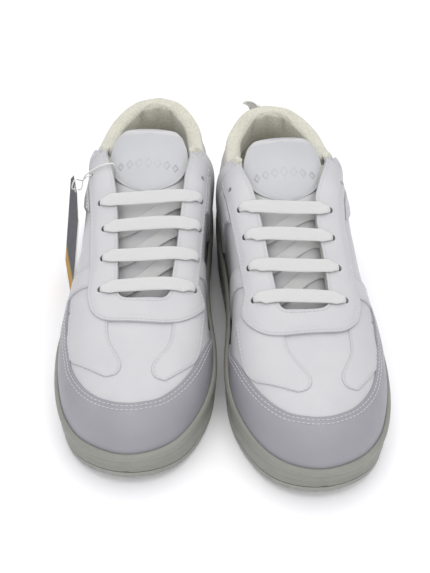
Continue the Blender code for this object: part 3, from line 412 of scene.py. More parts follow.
def add_piece(name, points, faces, look, body="shoe", stands=True, wear=None, uvs=None, sharp=40):
    """One piece from points in a shoe's own millimetres. Its faces are turned outwards, doubles joined.
    If stands is true, it stands for the CAD node of the same name."""
    world = to_world(points) * MM
    faces = [tuple(f) for f in faces]
    if signed_volume(world, faces) < 0:
        faces = [f[::-1] for f in faces]
    mesh = bpy.data.meshes.new(name)
    mesh.from_pydata(world.tolist(), [], faces)
    if wear is not None:
        attribute = mesh.attributes.new("seam_wear", "FLOAT", "POINT")
        attribute.data.foreach_set("value", np.asarray(wear, np.float32).ravel())
    if uvs is not None:
        layer_uv = mesh.uv_layers.new(name="along")
        corners = np.empty(len(mesh.loops), np.int32)
        mesh.loops.foreach_get("vertex_index", corners)
        layer_uv.data.foreach_set("uv", np.asarray(uvs, np.float32)[corners].ravel())
    bm = bmesh.new()
    bm.from_mesh(mesh)
    bmesh.ops.remove_doubles(bm, verts=bm.verts, dist=2e-5)
    flat = [f for f in bm.faces if f.calc_area() < 1e-11]
    bmesh.ops.delete(bm, geom=flat, context="FACES_ONLY")
    bm.to_mesh(mesh)
    bm.free()
    mesh.shade_smooth()
    mesh.set_sharp_from_angle(angle=math.radians(sharp))
    made = linked(f"{FOOT}_{name}", mesh)
    mesh.materials.append(LOOKS[look])
    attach(made, f"{FOOT}_{body}")
    if stands:
        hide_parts(f"{FOOT}_{name}")
    return made


def grid_faces(rows, columns, first=0, closed=False):
    """Quads over a grid of rows x columns points; closed joins the last column to the first."""
    r, c = np.arange(rows - 1), np.arange(columns if closed else columns - 1)
    r, c = [v.ravel() for v in np.meshgrid(r, c, indexing="ij")]
    d = (c + 1) % columns
    quads = np.stack([r * columns + c, r * columns + d, (r + 1) * columns + d, (r + 1) * columns + c], -1)
    return (quads + first).tolist()


def shell(outer, inner, joined=False):
    """Points and faces of a closed panel between two grids of points of the same shape.
    joined leaves the last column open, for halves that meet there along the ridge."""
    rows, columns = outer.shape[:2]
    n = rows * columns
    points = np.concatenate([outer.reshape(-1, 3), inner.reshape(-1, 3)])
    faces = grid_faces(rows, columns) + [f[::-1] for f in grid_faces(rows, columns, n)]
    index = np.arange(n).reshape(rows, columns)
    rim = np.concatenate([index[0], index[1:, -1], index[-1, -2::-1], index[-2:0:-1, 0]])
    for i in range(len(rim)):
        a, b = int(rim[i]), int(rim[(i + 1) % len(rim)])
        if joined and a % columns == columns - 1 and b % columns == columns - 1:
            continue
        faces.append((b, a, a + n, b + n))
    return points, faces


def tube_faces(rings, sides, closed=False):
    """Quads along rings of points, with a flat cap at each end unless the tube is closed."""
    count = rings if not closed else rings + 1
    faces = []
    for f in grid_faces(count, sides, closed=True):
        faces.append(tuple(v % (rings * sides) for v in f))
    if not closed:
        faces.append(tuple(range(sides))[::-1])
        faces.append(tuple(range((rings - 1) * sides, rings * sides)))
    return faces


EDGE_STEPS = np.array([0, 0.1, 0.28, 0.55, 1.0, 1.6, 2.1, 2.6, 3.4])


def shares(size, count):
    """Shares of the way across a panel of that size: close together near both edges, even between them."""
    steps = EDGE_STEPS * min(1.0, size / (2.4 * EDGE_STEPS[-1])) / size
    middle = np.linspace(steps[-1], 1 - steps[-1], count)
    return np.concatenate([steps[:-1], middle, 1 - steps[:-1][::-1]])


def runs(points, axis):
    """Distances along a grid's lines from its first edge and from its last, in millimetres."""
    steps = np.linalg.norm(np.diff(points, axis=axis), axis=-1)
    zero = np.zeros_like(np.take(steps, [0], axis=axis))
    from_first = np.concatenate([zero, np.cumsum(steps, axis=axis)], axis=axis)
    total = np.take(from_first, [-1], axis=axis)
    return from_first, total - from_first


def rounded(distance, radius):
    """How far a surface falls at a rounded edge, by the distance from that edge."""
    inward = np.clip(radius - distance, 0, radius)
    return radius - np.sqrt(np.clip(radius**2 - inward**2, 0, None))


def edge_distances(b, t):
    """Distances from the four edges of a panel laid out on the last as grids of b and t."""
    p = last_point(b, t)
    u0, u1 = runs(p, 0)
    v0, v1 = runs(p, 1)
    return {"u0": u0, "u1": u1, "v0": v0, "v1": v1}


def leather_panel(name, b, t, heights, free, seams, sewn=None, puff=0.0, look="leather", skip=1.5):
    """A leather panel on the last, and the rows of stitches along its seams. free names its cut edges, which
    are rounded; seams are (edge, distance) pairs, and the leather dips along them and swells a little
    between them. sewn is how many of the seams have stitches of their own: all, unless it is given."""
    away = edge_distances(b, t)
    low, high = heights
    radius = min(0.6, 0.5 * (high - low))
    fall = np.zeros_like(b)
    wear = np.zeros_like(b)
    nearest = np.full_like(b, 99.0)
    for edge in free.split():
        fall = np.maximum(fall, rounded(away[edge], radius))
        wear = np.maximum(wear, bell(away[edge] / 0.7))
        nearest = np.minimum(nearest, away[edge])
    for edge, distance in seams:
        dip = bell((away[edge] - distance) / 0.55)
        fall = fall + 0.16 * dip
        wear = np.maximum(wear, 0.6 * dip)
    swell = puff * np.clip((nearest - 2.5) / 6, 0, 1)
    points, faces = shell(layer(b, t, high - fall + swell), layer(b, t, low))
    made = add_piece(name, points, faces, look, wear=np.tile(wear.ravel(), 2))
    rows = [stitch_row(path_at(b, t, away, edge, d), high - 0.02, skip) for edge, d in seams[:sewn]]
    return made, rows


def thin_layer(name, b, t, heights, look, joined=False):
    """A lining or a stiffener: a plain layer between two heights inside the last."""
    points, faces = shell(layer(b, t, heights[1]), layer(b, t, heights[0]), joined)
    return add_piece(name, points, faces, look)


def path_at(b, t, away, edge, distance):
    """The (b, t) line of a panel that runs a distance inside one of its edges."""
    lines = [away[edge], b, t]
    if edge in ("u0", "u1"):
        lines = [v.T for v in lines]
    if edge in ("u1", "v1"):
        lines = [v[:, ::-1] for v in lines]
    return np.array([[np.interp(distance, d, bi), np.interp(distance, d, ti)] for d, bi, ti in zip(*lines)])


STITCH_PITCH, STITCH_LENGTH, STITCH_RADIUS = 2.9, 2.25, 0.24


def stitch_row(path, height, skip=1.5):
    """Points and faces of a row of lockstitches along a (b, t) line at a height above the last."""
    p = layer(path[:, 0], path[:, 1], height)
    n = last_normal(path[:, 0], path[:, 1])
    run = run_along(p)
    count = int((run[-1] - 2 * skip) / STITCH_PITCH)
    if count < 1:
        return np.zeros((0, 3)), []
    centres = skip + (np.arange(count) + 0.5) * (run[-1] - 2 * skip) / count

    def at(where, what):
        return np.stack([np.interp(where, run, what[:, k]) for k in range(3)], -1)

    c = at(centres, p)
    ahead = unit(at(centres + 0.4, p) - at(centres - 0.4, p))
    side = unit(np.cross(ahead, at(centres, n)))
    up = np.cross(side, ahead)
    lengths = np.array([-0.5, -0.42, -0.2, 0.2, 0.42, 0.5]) * STITCH_LENGTH
    radii = np.array([0.25, 0.8, 1.0, 1.0, 0.8, 0.25]) * STITCH_RADIUS
    lifts = np.array([-0.28, -0.04, 0.05, 0.05, -0.04, -0.28])
    turns = circle(6)
    high = lifts[:, None] + radii[:, None] * np.sin(turns)
    wide = radii[:, None] * np.cos(turns)
    points = (
        c[:, None, None]
        + ahead[:, None, None] * lengths[None, :, None, None]
        + up[:, None, None] * high[None, :, :, None]
        + side[:, None, None] * wide[None, :, :, None]
    )
    one = tube_faces(len(lengths), len(turns))
    size = len(lengths) * len(turns)
    faces = [tuple(v + k * size for v in f) for k in range(count) for f in one]
    return points.reshape(-1, 3), faces


def add_stitching(rows):
    """One piece that holds all the rows of stitches of a shoe."""
    points, faces, first = [], [], 0
    for p, f in rows:
        points.append(p)
        faces += [tuple(v + first for v in g) for g in f]
        first += len(p)
    add_piece("stitching", np.concatenate(points), faces, "thread", stands=False, sharp=60)


# ---------------------------------------------------------------- materials


def darker(colour, share):
    return tuple(c * share for c in colour)


class Look:
    """A node material being built: each method adds a node and returns its output."""

    def __init__(self, name):
        self.material = bpy.data.materials.new(name)
        self.material.use_nodes = True
        self.tree = self.material.node_tree
        self.shader = self.tree.nodes["Principled BSDF"]
        self.place = self.tree.nodes.new("ShaderNodeTexCoord").outputs["Object"]

    def link(self, source, socket):
        self.tree.links.new(source, socket)

    def node(self, kind, inputs=None, **settings):
        made = self.tree.nodes.new(kind)
        for key, value in settings.items():
            setattr(made, key, value)
        for key, value in (inputs or {}).items():
            if isinstance(value, bpy.types.NodeSocket):
                self.link(value, made.inputs[key])
            else:
                made.inputs[key].default_value = value
        return made

    def stretched(self, scale, turn=(0, 0, 0), source=None):
        inputs = {"Vector": source or self.place, "Scale": scale, "Rotation": turn}
        return self.node("ShaderNodeMapping", inputs).outputs["Vector"]

    def noise(self, scale, detail=3.0, roughness=0.5, vector=None):
        inputs = {"Scale": scale, "Detail": detail, "Roughness": roughness, "Vector": vector or self.place}
        return self.node("ShaderNodeTexNoise", inputs).outputs["Fac"]

    def cells(self, scale, feature="F1", vector=None):
        inputs = {"Scale": scale, "Vector": vector or self.place}
        return self.node("ShaderNodeTexVoronoi", inputs, feature=feature).outputs["Distance"]

    def wave(self, scale, distortion=0.0, direction="X", vector=None):
        inputs = {"Scale": scale, "Distortion": distortion, "Vector": vector or self.place}
        found = self.node("ShaderNodeTexWave", inputs, bands_direction=direction, wave_profile="SIN")
        return found.outputs["Fac"]

    def math(self, operation, a, b=0.5):
        return self.node("ShaderNodeMath", {0: a, 1: b}, operation=operation).outputs[0]

    def between(self, value, low, high, out_low=0.0, out_high=1.0):
        inputs = {"Value": value, "From Min": low, "From Max": high, "To Min": out_low, "To Max": out_high}
        return self.node("ShaderNodeMapRange", inputs).outputs["Result"]

    def mix(self, share, first, second):
        made = self.tree.nodes.new("ShaderNodeMix")
        made.data_type = "RGBA"
        for value, socket in ((share, made.inputs[0]), (first, made.inputs[6]), (second, made.inputs[7])):
            if isinstance(value, bpy.types.NodeSocket):
                self.link(value, socket)
            else:
                socket.default_value = value if isinstance(value, float) else (*value, 1)
        return made.outputs[2]

    def attribute(self, name):
        return self.node("ShaderNodeAttribute", attribute_name=name).outputs["Fac"]

    def bump(self, height, distance, strength=1.0, after=None):
        inputs = {"Height": height, "Distance": distance, "Strength": strength}
        if after is not None:
            inputs["Normal"] = after
        return self.node("ShaderNodeBump", inputs).outputs["Normal"]

    def finish(self, colour, roughness, normal=None, **fixed):
        for value, socket in ((colour, "Base Color"), (roughness, "Roughness"), (normal, "Normal")):
            if isinstance(value, bpy.types.NodeSocket):
                self.link(value, self.shader.inputs[socket])
            elif value is not None:
                self.shader.inputs[socket].default_value = value if isinstance(value, float) else (*value, 1)
        for name, value in fixed.items():
            self.shader.inputs[name.replace("_", " ")].default_value = value
        return self.material


def leather_look(name, colour, shade, roughness, grain=1.0):
    """Smooth coated leather: fine pebble grain, faint mottling, duller and greyer at its cut edges."""
    look = Look(name)
    mottled = look.between(look.noise(38, 4), 0.3, 0.7)
    base = look.mix(mottled, colour, shade)
    patchy = look.between(look.noise(210, 3), 0.3, 0.75, 0.35, 1.0)
    wear = look.math("MULTIPLY", look.attribute("seam_wear"), patchy)
    base = look.mix(look.math("MULTIPLY", wear, 0.55), base, darker(shade, 0.72))
    pebble = look.between(look.cells(1500), 0.0, 0.75, 1.0, 0.0)
    pores = look.noise(2600, 2)
    creases = look.noise(95, 5, 0.6, look.stretched((1.0, 0.55, 1.0)))
    grainy = look.bump(look.math("ADD", pebble, look.math("MULTIPLY", pores, 0.6)), 0.00005 * grain, 0.55)
    normal = look.bump(creases, 0.00035, 0.35, grainy)
    rough = look.between(look.noise(160, 3), 0.3, 0.7, roughness - 0.05, roughness + 0.08)
    return look.finish(base, rough, normal, Specular_IOR_Level=0.42, Coat_Weight=0.08, Coat_Roughness=0.35)


def textile_look(name, colour, shade, scale=1.0, sheen=0.35):
    """Brushed knit: rows of small loops, broken up by lint and by faint cloudiness."""
    look = Look(name)
    loops = look.cells(620 / scale, vector=look.stretched((1.0, 0.72, 1.15)))
    lint = look.noise(900 / scale, 4, 0.7)
    cloud = look.between(look.noise(55, 3), 0.3, 0.7)
    base = look.mix(cloud, colour, shade)
    base = look.mix(look.between(loops, 0.25, 0.7, 0.0, 0.5), base, darker(shade, 0.78))
    height = look.math("ADD", look.between(loops, 0.0, 0.7, 1.0, 0.0), look.math("MULTIPLY", lint, 0.5))
    normal = look.bump(height, 0.00022 * scale, 0.7)
    return look.finish(base, 0.93, normal, Sheen_Weight=sheen, Sheen_Roughness=0.5, Specular_IOR_Level=0.2)


def rubber_look(name, colour, shade, roughness=0.5, stipple=1.0):
    """Moulded rubber or foam: a stippled skin with faint flow marks and a little grime."""
    look = Look(name)
    flow = look.between(look.noise(26, 4, 0.55), 0.3, 0.72)
    base = look.mix(flow, colour, shade)
    grime = look.between(look.noise(140, 5, 0.65), 0.52, 0.8, 0.0, 0.4)
    base = look.mix(grime, base, darker(shade, 0.82))
    skin = look.math("ADD", look.noise(1700, 3), look.math("MULTIPLY", look.noise(320, 2), 0.6))
    normal = look.bump(skin, 0.00009 * stipple, 0.6)
    rough = look.between(look.noise(190, 3), 0.3, 0.7, roughness - 0.06, roughness + 0.1)
    return look.finish(base, rough, normal, Specular_IOR_Level=0.4)


def lace_look():
    """A flat tubular braid: yarns crossing in a herringbone, from the lace's own length and width."""
    look = Look("lace_braid")
    along = look.node("ShaderNodeUVMap", uv_map="along").outputs["UV"]
    turned = [look.stretched((1, 1, 1), (0, 0, math.radians(angle)), along) for angle in (38, -38)]
    yarn = look.math("MAXIMUM", *[look.wave(0.55, vector=v) for v in turned])
    fuzz = look.noise(1500, 3, 0.7)
    base = look.mix(look.between(yarn, 0.2, 0.9), (0.50, 0.50, 0.49), (0.66, 0.66, 0.645))
    normal = look.bump(look.math("ADD", yarn, look.math("MULTIPLY", fuzz, 0.35)), 0.00022, 0.75)
    return look.finish(base, 0.86, normal, Sheen_Weight=0.3, Sheen_Roughness=0.5, Specular_IOR_Level=0.25)


def thread_look():
    look = Look("sewing_thread")
    twist = look.wave(900, 1.5, "DIAGONAL")
    base = look.mix(look.between(twist, 0, 1), (0.50, 0.50, 0.51), (0.62, 0.62, 0.62))
    return look.finish(base, 0.7, look.bump(twist, 0.00006, 0.6), Sheen_Weight=0.2)


def card_look():
    """A printed tag: a dark upper part and an amber lower one, with a soft edge between them."""
    look = Look("tag_print")
    height = look.node("ShaderNodeSeparateXYZ", {0: look.place}).outputs["Z"]
    wobble = look.math("ADD", height, look.between(look.noise(60, 3), 0, 1, -0.003, 0.003))
    warm = look.mix(look.between(height, 0.008, 0.032), (0.42, 0.20, 0.02), (0.46, 0.34, 0.06))
    dark = look.mix(look.between(look.noise(240, 4), 0.35, 0.65), (0.045, 0.045, 0.052), (0.09, 0.09, 0.10))
    base = look.mix(look.between(wobble, 0.021, 0.028), warm, dark)
    fibres = look.bump(look.noise(1400, 4, 0.7), 0.00004, 0.6)
    return look.finish(base, 0.62, fibres, Specular_IOR_Level=0.15)


def paper_look(name, colour):
    look = Look(name)
    fibre = look.noise(1300, 5, 0.7)
    base = look.mix(look.between(fibre, 0.3, 0.7), colour, darker(colour, 0.86))
    return look.finish(base, 0.85, look.bump(fibre, 0.00006, 0.7))


def webbing_look():
    """Narrow woven tape: ribs across it and a twill along it. Its own colour is cream-white, painted lighter
    still to stand in for light on its shaded side that faces the camera.
    """
    look = Look("tab_webbing_painted_light")
    ribs = look.wave(560, 0.4, "Z")
    twill = look.wave(420, 0.6, "DIAGONAL")
    height = look.math("ADD", ribs, look.math("MULTIPLY", twill, 0.5))
    # Cream-white raised above the tape's own tone: painted light that lifts the shade on the side facing the
    # camera.
    base = look.mix(look.between(height, 0.2, 1.2), (0.80, 0.80, 0.75), (0.92, 0.92, 0.87))
    return look.finish(base, 0.88, look.bump(height, 0.00025, 0.7), Sheen_Weight=0.3)


def board_look():
    look = Look("insole_fibre")
    fibre = look.noise(700, 5, 0.7, look.stretched((1.0, 0.3, 1.0)))
    base = look.mix(look.between(fibre, 0.3, 0.7), (0.50, 0.43, 0.31), (0.68, 0.60, 0.46))
    return look.finish(base, 0.92, look.bump(fibre, 0.0002, 0.6))


def plastic_look(name, colour, roughness):
    look = Look(name)
    flow = look.noise(240, 3)
    base = look.mix(look.between(flow, 0.3, 0.7), colour, darker(colour, 0.9))
    rough = look.between(flow, 0.3, 0.7, roughness, roughness + 0.1)
    return look.finish(base, rough, look.bump(look.noise(900, 2), 0.00003, 0.5))


LOOKS = {
    "leather": leather_look("white_coated_leather", (0.51, 0.51, 0.515), (0.48, 0.48, 0.49), 0.44),
    # The toe cap is the same white leather as the vamp: this dark lilac-grey copy is painted shade for its
    # front, which faces away from the overhead light.
    "toe": leather_look("toe_leather_painted_shade", (0.295, 0.29, 0.313), (0.27, 0.265, 0.288), 0.46),
    "tongue": leather_look("tongue_leather", (0.53, 0.53, 0.53), (0.50, 0.50, 0.505), 0.50, 1.3),
    "badge": leather_look("badge_leather", (0.47, 0.475, 0.485), (0.44, 0.445, 0.455), 0.40),
    "mark": plastic_look("badge_print", (0.42, 0.43, 0.46), 0.35),
    "cream": textile_look("cream_knit", (0.62, 0.61, 0.515), (0.57, 0.56, 0.47)),
    "white_knit": textile_look("white_knit", (0.58, 0.58, 0.56), (0.54, 0.54, 0.52), 0.8),
    "sole": rubber_look("cup_rubber", (0.265, 0.265, 0.235), (0.235, 0.235, 0.21), 0.5),
    "tread": rubber_look("tread_rubber", (0.30, 0.30, 0.27), (0.26, 0.26, 0.235), 0.56, 1.6),
    "board": board_look(),
    "stiffener": plastic_look("stiffener_plastic", (0.62, 0.60, 0.54), 0.6),
    "lace": lace_look(),
    "thread": thread_look(),
    "aglet": plastic_look("aglet_film", (0.82, 0.84, 0.85), 0.18),
    "card": card_look(),
    "paper": paper_look("tag_paper", (0.84, 0.83, 0.80)),
    "string": paper_look("tag_string_fibre", (0.78, 0.77, 0.74)),
    "webbing": webbing_look(),
}


# ---------------------------------------------------------------- the sole


TOE_SPRING_END, HEEL_LIFT_START = 68.0, 252.0


def sole_bottom(s):
    """Height of the ground face: flat in the middle, sprung up at the toe and a little at the heel."""
    s = np.asarray(s, float)
    toe = TOE_SPRING * np.clip(1 - s / TOE_SPRING_END, 0, None) ** 2
    heel = HEEL_LIFT * np.clip((s - HEEL_LIFT_START) / (LENGTH - HEEL_LIFT_START), 0, None) ** 2
    return toe + heel


def grown_edge(b, grow):
    """The sole edge moved outwards by grow, as (x, s)."""
    x, s, out_x, out_s = sole_edge(np.asarray(b, float))
    return np.stack([x + out_x * grow, s + out_s * grow], -1)


def slab_grid(edge, rows, columns):
    """A plan-view grid of (x, s) inside an outline given as b to (x, s): lateral edge first."""
    a = (1 - np.cos(np.linspace(0, math.pi, rows))) / 2
    a = 0.35 * a + 0.65 * np.linspace(0, 1, rows)
    lateral, medial = edge(a), edge(-a)
    share = np.linspace(0, 1, columns)[None, :, None]
    return lateral[:, None] + (medial - lateral)[:, None] * share


def distance_inside(flat, ring):
    """How far each point of a plan-view grid lies from the outline's points."""
    return np.array([np.linalg.norm(row[:, None] - ring[None], axis=-1).min(axis=1) for row in flat])


TREAD_PITCH, TREAD_GROOVE, TREAD_DEPTH, TREAD_RIM = 9.0, 2.4, 1.3, 6.5
SPOT_X, SPOT_S, SPOT_RADIUS = -4.0, 84.0, 21.0
WAIST_S, WAIST_HALF = 166.0, 18.0


def step_down(x, softness):
    """1 where x is negative and 0 where it is positive, with a soft step between them."""
    return 1 / (1 + np.exp(x / softness))


def tread_depth(p, inside):
    """How far the ground face is cut back: chevron grooves inside a plain rim, and a turning spot."""
    x, s = p[..., 0], p[..., 1]
    chevron = (s + 0.55 * np.abs(x) + 1.2 * np.sin(x * 0.25)) % TREAD_PITCH
    groove = step_down(np.abs(chevron - TREAD_PITCH / 2) - TREAD_GROOVE / 2, 0.16)
    spot = np.hypot(x - SPOT_X, s - SPOT_S)
    rings = step_down(np.abs((spot % 7) - 3.5) - 1.0, 0.16)
    pattern = np.where(spot < SPOT_RADIUS, rings, groove * (spot > SPOT_RADIUS + 2))
    waist = step_down(WAIST_HALF - np.abs(s - WAIST_S), 1.2)
    rim = step_down(TREAD_RIM - inside, 0.35)
    return TREAD_DEPTH * pattern * waist * rim


def make_outsole():
    """The rubber outsole: a rimmed plate with chevron tread, rolled at its edge."""
    rows, columns = 331, 97
    grow = WELT - 0.8
    flat = slab_grid(lambda b: grown_edge(b, grow), rows, columns)
    ring = grown_edge(np.linspace(-1, 1, 400), grow)
    inside = distance_inside(flat, ring)
    base = sole_bottom(flat[..., 1])
    low = base + tread_depth(flat, inside) + rounded(inside, 0.9)
    high = base + OUTSOLE - rounded(inside, 0.4)
    points, faces = shell(raised(flat, high), raised(flat, low))
    add_piece("outsole", points, faces, "tread", sharp=55)


def lip_share(a):
    """The t at which the cup's lip ends, on the rib |b| = a."""
    return LIP / RISE_AT(a) / 3 * 1.15


# The cup's wall, in shares of its height from the lip down: rolled lip, foxing line, ribs round the toe.
ROLL_END, FOXING, RIBS, RIB_PITCH = 0.30, 0.315, (0.58, 0.94), 0.09
ROLL = 0.75


def make_midsole():
    """The cup: a foam bed whose wall hugs the upper, with a rolled lip, a foxing line and ribs at the toe."""
    count = 420
    b = np.linspace(-1, 1, count + 1)[:-1]
    a = np.abs(b)
    lip = layer(b, lip_share(a), 1.3)
    _, _, out_x, out_s = sole_edge(b)
    bottom = sole_bottom(grown_edge(b, WELT)[:, 1]) + OUTSOLE + GAP
    top = lip[:, 2]
    bed = layer(b, np.zeros_like(b), 1.9)
    bed[:, 2] -= 1.2
    rows = [bed, 0.5 * (bed + lip), lip]
    lip_out = grown_edge(b, WELT)
    across = lip_out - lip[:, :2]
    for angle in (25, 50, 75):
        turn = math.radians(angle)
        place = lip[:, :2] + across * (1 - math.cos(turn)) * 0.98
        rows.append(raised(place, top + ROLL * math.sin(turn) - ROLL * (1 - math.cos(turn))))
    wall = np.concatenate([[0.0, 0.02, 0.05], np.linspace(0.09, 0.93, 72), [0.96, 0.985, 1.0]])
    toe = np.exp(-((a / 0.15) ** 4))
    notch = bell(a / 0.006)
    wavy = 0.22 * np.sin(b * 61 + 1) * np.sin(b * 23) * np.exp(-((a / 0.45) ** 4))
    for w in wall:
        height = top + (bottom - top) * w + wavy * (1 - w) * np.sin(math.pi * min(1, 2.2 * w + 0.15))
        roll = ROLL * math.sin(math.pi * min(1, w / ROLL_END)) ** 0.8 if w < ROLL_END else 0.0
        groove = 0.5 * math.exp(-(((w - FOXING) / 0.018) ** 2))
        recess = ROLL / (1 + math.exp(-(w - FOXING - 0.01) / 0.010))
        belly = 0.7 * math.sin(math.pi * np.clip((w - 0.33) / 0.67, 0, 1))
        edge = 0.55 * (rounded(w * 16, 1.0) + rounded((1 - w) * 18, 0.8))
        beat = 0.5 - 0.5 * math.cos(2 * math.pi * (w - RIBS[0]) / RIB_PITCH)
        ribs = 0.38 * beat * (RIBS[0] < w < RIBS[1])
        mark = 0.5 * notch * (w > 0.36)
        grow = WELT + roll - groove - recess + belly - edge - ribs * toe - mark
        place = np.stack([lip_out[:, 0] + out_x * (grow - WELT), lip_out[:, 1] + out_s * (grow - WELT)], -1)
        rows.append(raised(place, height))
    rings = np.array(rows)
    points = rings.reshape(-1, 3)
    faces = grid_faces(len(rings), count, closed=True)
    half = count // 2
    for first in (0, (len(rings) - 1) * count):
        for i in range(half):
            quad = [v % count for v in (half + i, half + i + 1, half - i - 1, half - i)]
            unique = list(dict.fromkeys(first + q for q in quad))
            faces.append(tuple(unique if first == 0 else unique[::-1]))
    add_piece("midsole", points, faces, "sole", sharp=50)


def inner_edge(b, inset):
    """The lining's foot moved inwards by inset, as (x, s)."""
    return layer(np.asarray(b, float), np.zeros(np.shape(b)), LINING[0] - inset)[..., :2]


def make_footbeds():
    """The fibre board and, on it, the removable sockliner, softly cupped at its edge."""
    flat = slab_grid(lambda b: inner_edge(b, 0.6), 60, 13)
    z = SOLE_TOP_AT(flat[..., 1])
    points, faces = shell(raised(flat, z + 0.9), raised(flat, z - 0.8))
    add_piece("insole_board", points, faces, "board")
    flat = slab_grid(lambda b: inner_edge(b, 1.8), 121, 41)
    inside = distance_inside(flat, inner_edge(np.linspace(-1, 1, 300), 1.8))
    z = SOLE_TOP_AT(flat[..., 1])
    top = z + 4.4 + 1.6 * np.exp(-inside / 7) - rounded(inside, 1.6)
    quilt = 0.25 * bell(((flat[..., 1] + 0.3 * np.abs(flat[..., 0])) % 26 - 13) / 0.9)
    points, faces = shell(raised(flat, top - quilt), raised(flat, z + 1.2 + rounded(inside, 0.6)))
    add_piece("sockliner", points, faces, "cream")


# ---------------------------------------------------------------- the upper

CAP_B = [0, 0.07, 0.13, 0.18, 0.23, 0.29, 0.37]
CAP_T_LATERAL = [0.70, 0.66, 0.59, 0.52, 0.46, 0.42, 0.38]
CAP_T_MEDIAL = [0.70, 0.66, 0.58, 0.52, 0.45, 0.35, 0.10]
CAP_LATERAL, CAP_MEDIAL = monotone(CAP_B, CAP_T_LATERAL), monotone(CAP_B, CAP_T_MEDIAL)
VAMP_END = station(88)
UPPER_FOOT = 0.012
STAY_END = station(192)
COLLAR_START = station(200)
STAY_WIDTH = {"left": {1: 20.0, -1: 20.0}, "right": {1: 18.8, -1: 18.4}}
SEAM = 0.0035
QUARTER_TOP = monotone([COLLAR_START, 0.75, 0.86, 1.0], [0.90, 0.80, 0.80, 0.82])
LINING_TOP = monotone([COLLAR_START, 0.75, 0.86, 1.0], [0.62, 0.40, 0.46, 0.50])


def cap_edge(b):
    """The toe cap's upper edge, as t on rib b."""
    return np.where(b > 0, CAP_LATERAL(np.abs(b)), CAP_MEDIAL(np.abs(b)))


def laid_out(b_low, b_high, t_low, t_high, rows):
    """Grids of b and t whose columns run from a low edge to a high one, at the given shares."""
    ends = [np.asarray(v, float)[:, None] for v in (b_low, b_high, t_low, t_high)]
    return ends[0] + (ends[1] - ends[0]) * rows, ends[2] + (ends[3] - ends[2]) * rows


def make_vamp():
    b = np.linspace(-VAMP_END, VAMP_END, 141)
    rows = np.linspace(0, 1, 61)
    b, t = laid_out(b, b, np.full_like(b, UPPER_FOOT), np.ones_like(b), rows)
    p = last_point(b, t)
    x, s = p[..., 0], p[..., 1]
    crease = np.zeros_like(x)
    for place, depth in ((56.0, 0.16), (64.0, 0.22), (71.0, 0.14)):
        line = place + 0.05 * x + 1.4 * np.sin(x * 0.14)
        crease += depth * bell((s - line) / 2.2) * np.exp(-((x / 26) ** 4))
    points, faces = shell(layer(b, t, -crease), layer(b, t, -LEATHER), True)
    add_piece("vamp", points, faces, "leather", wear=np.zeros(len(points)))
    b, t = laid_out(b[::2, 0], b[::2, 0], np.full(71, 0.022), np.ones(71), rows[::2])
    thin_layer("vamp_lining", b, t, LINING, "white_knit", True)


def make_toe():
    u = shares(160, 110)
    b = -0.37 + 0.74 * u
    b, t = laid_out(b, b, np.full_like(b, UPPER_FOOT), cap_edge(b), shares(38, 26))
    seams = [("v1", 2.0), ("v1", 4.4)]
    # The "toe" look colours the cap much darker than the vamp: painted shade, not a leather of another
    # colour.
    _, rows = leather_panel("toe_cap", b, t, OVERLAY, "v1 u0 u1", seams, puff=0.15, look="toe")
    b = np.linspace(-0.2, 0.2, 41)
    b, t = laid_out(b, b, np.full_like(b, 0.06), cap_edge(b) - 0.1, np.linspace(0, 1, 13))
    thin_layer("toe_puff", b, t, STIFFENER, "stiffener")
    return rows


WING_INNER = [(16.5, 36.3), (12, 37.4), (9.6, 40.5), (9.4, 45)]
WING_INNER += [(12.5, 51), (17, 58.5), (19.6, 67), (21.5, 92)]
WING_OUTER = [(18.2, 36.4), (21, 38.2), (25, 41), (30.5, 45)]
WING_OUTER += [(36.5, 50.5), (41, 59), (43, 74), (43, 98)]
WING_HIGH = 0.8
LOBE_SHIFT = {"left": 5.5, "right": -4.5}


def make_wings():
    """The two thin overlays that reach forward from under the facing, each ending in a rounded lobe."""
    rows = []
    for side, sign in SIDES:
        along = shares(60, 44) * 200
        edges = [smooth_through(edge, 201).T for edge in (WING_INNER, WING_OUTER)]
        inner, outer = [np.stack([np.interp(along, np.arange(201), c) for c in edge], -1) for edge in edges]
        share = shares(20, 14)[None, :, None]
        places = inner[:, None] + (outer - inner)[:, None] * share
        x = places[..., 0]
        x = sign * x + LOBE_SHIFT[FOOT] * np.clip((36 - x) / 18, 0, 1)
        b, t = find_on_last(x, places[..., 1])
        seams = [("v0", 1.7), ("v1", 1.7)]
        rows += leather_panel(f"wing_{side}", b, t, (OVERLAY[0], WING_HIGH), "v0 v1 u0", seams, skip=2.5)[1]
    return rows


def leg_stations(count):
    return np.linspace(VAMP_END + SEAM, STAY_END, count)


def quarter_columns(legs=90, collar=90):
    """Stations of a quarter and its upper edge: along the throat, then round the collar."""
    return np.concatenate([leg_stations(legs), np.linspace(COLLAR_START, 1 - SEAM / 2, collar)])


def make_quarters():
    for side, sign in SIDES:
        b = sign * quarter_columns()
        top = [throat_edge_t(x) if abs(x) <= STAY_END else float(QUARTER_TOP(abs(x))) for x in b]
        b, t = laid_out(b, b, np.full_like(b, UPPER_FOOT), top, shares(75, 44))
        made, _ = leather_panel(f"quarter_{side}", b, t, (-LEATHER, 0.0), "v1 u0", [("v1", 2.2)], sewn=0)
        drill(made, sign)


def make_lining():
    """The textile sleeve inside the quarters, from the vamp round the heel, below the collar roll."""
    side = quarter_columns(60, 60)
    b = np.concatenate([side, 2 - side[::-1]])
    top = []
    for x in around(b):
        a = abs(x)
        top.append(throat_edge_t(x) - 0.004 if a <= STAY_END else float(LINING_TOP(a)))
    low = np.full_like(b, UPPER_FOOT + 0.01)
    b, t = laid_out(b, b, low, top, np.linspace(0, 1, 31))
    made = thin_layer("quarter_lining", b, t, LINING, "cream")
    drill(made, 1)
    drill(made, -1)


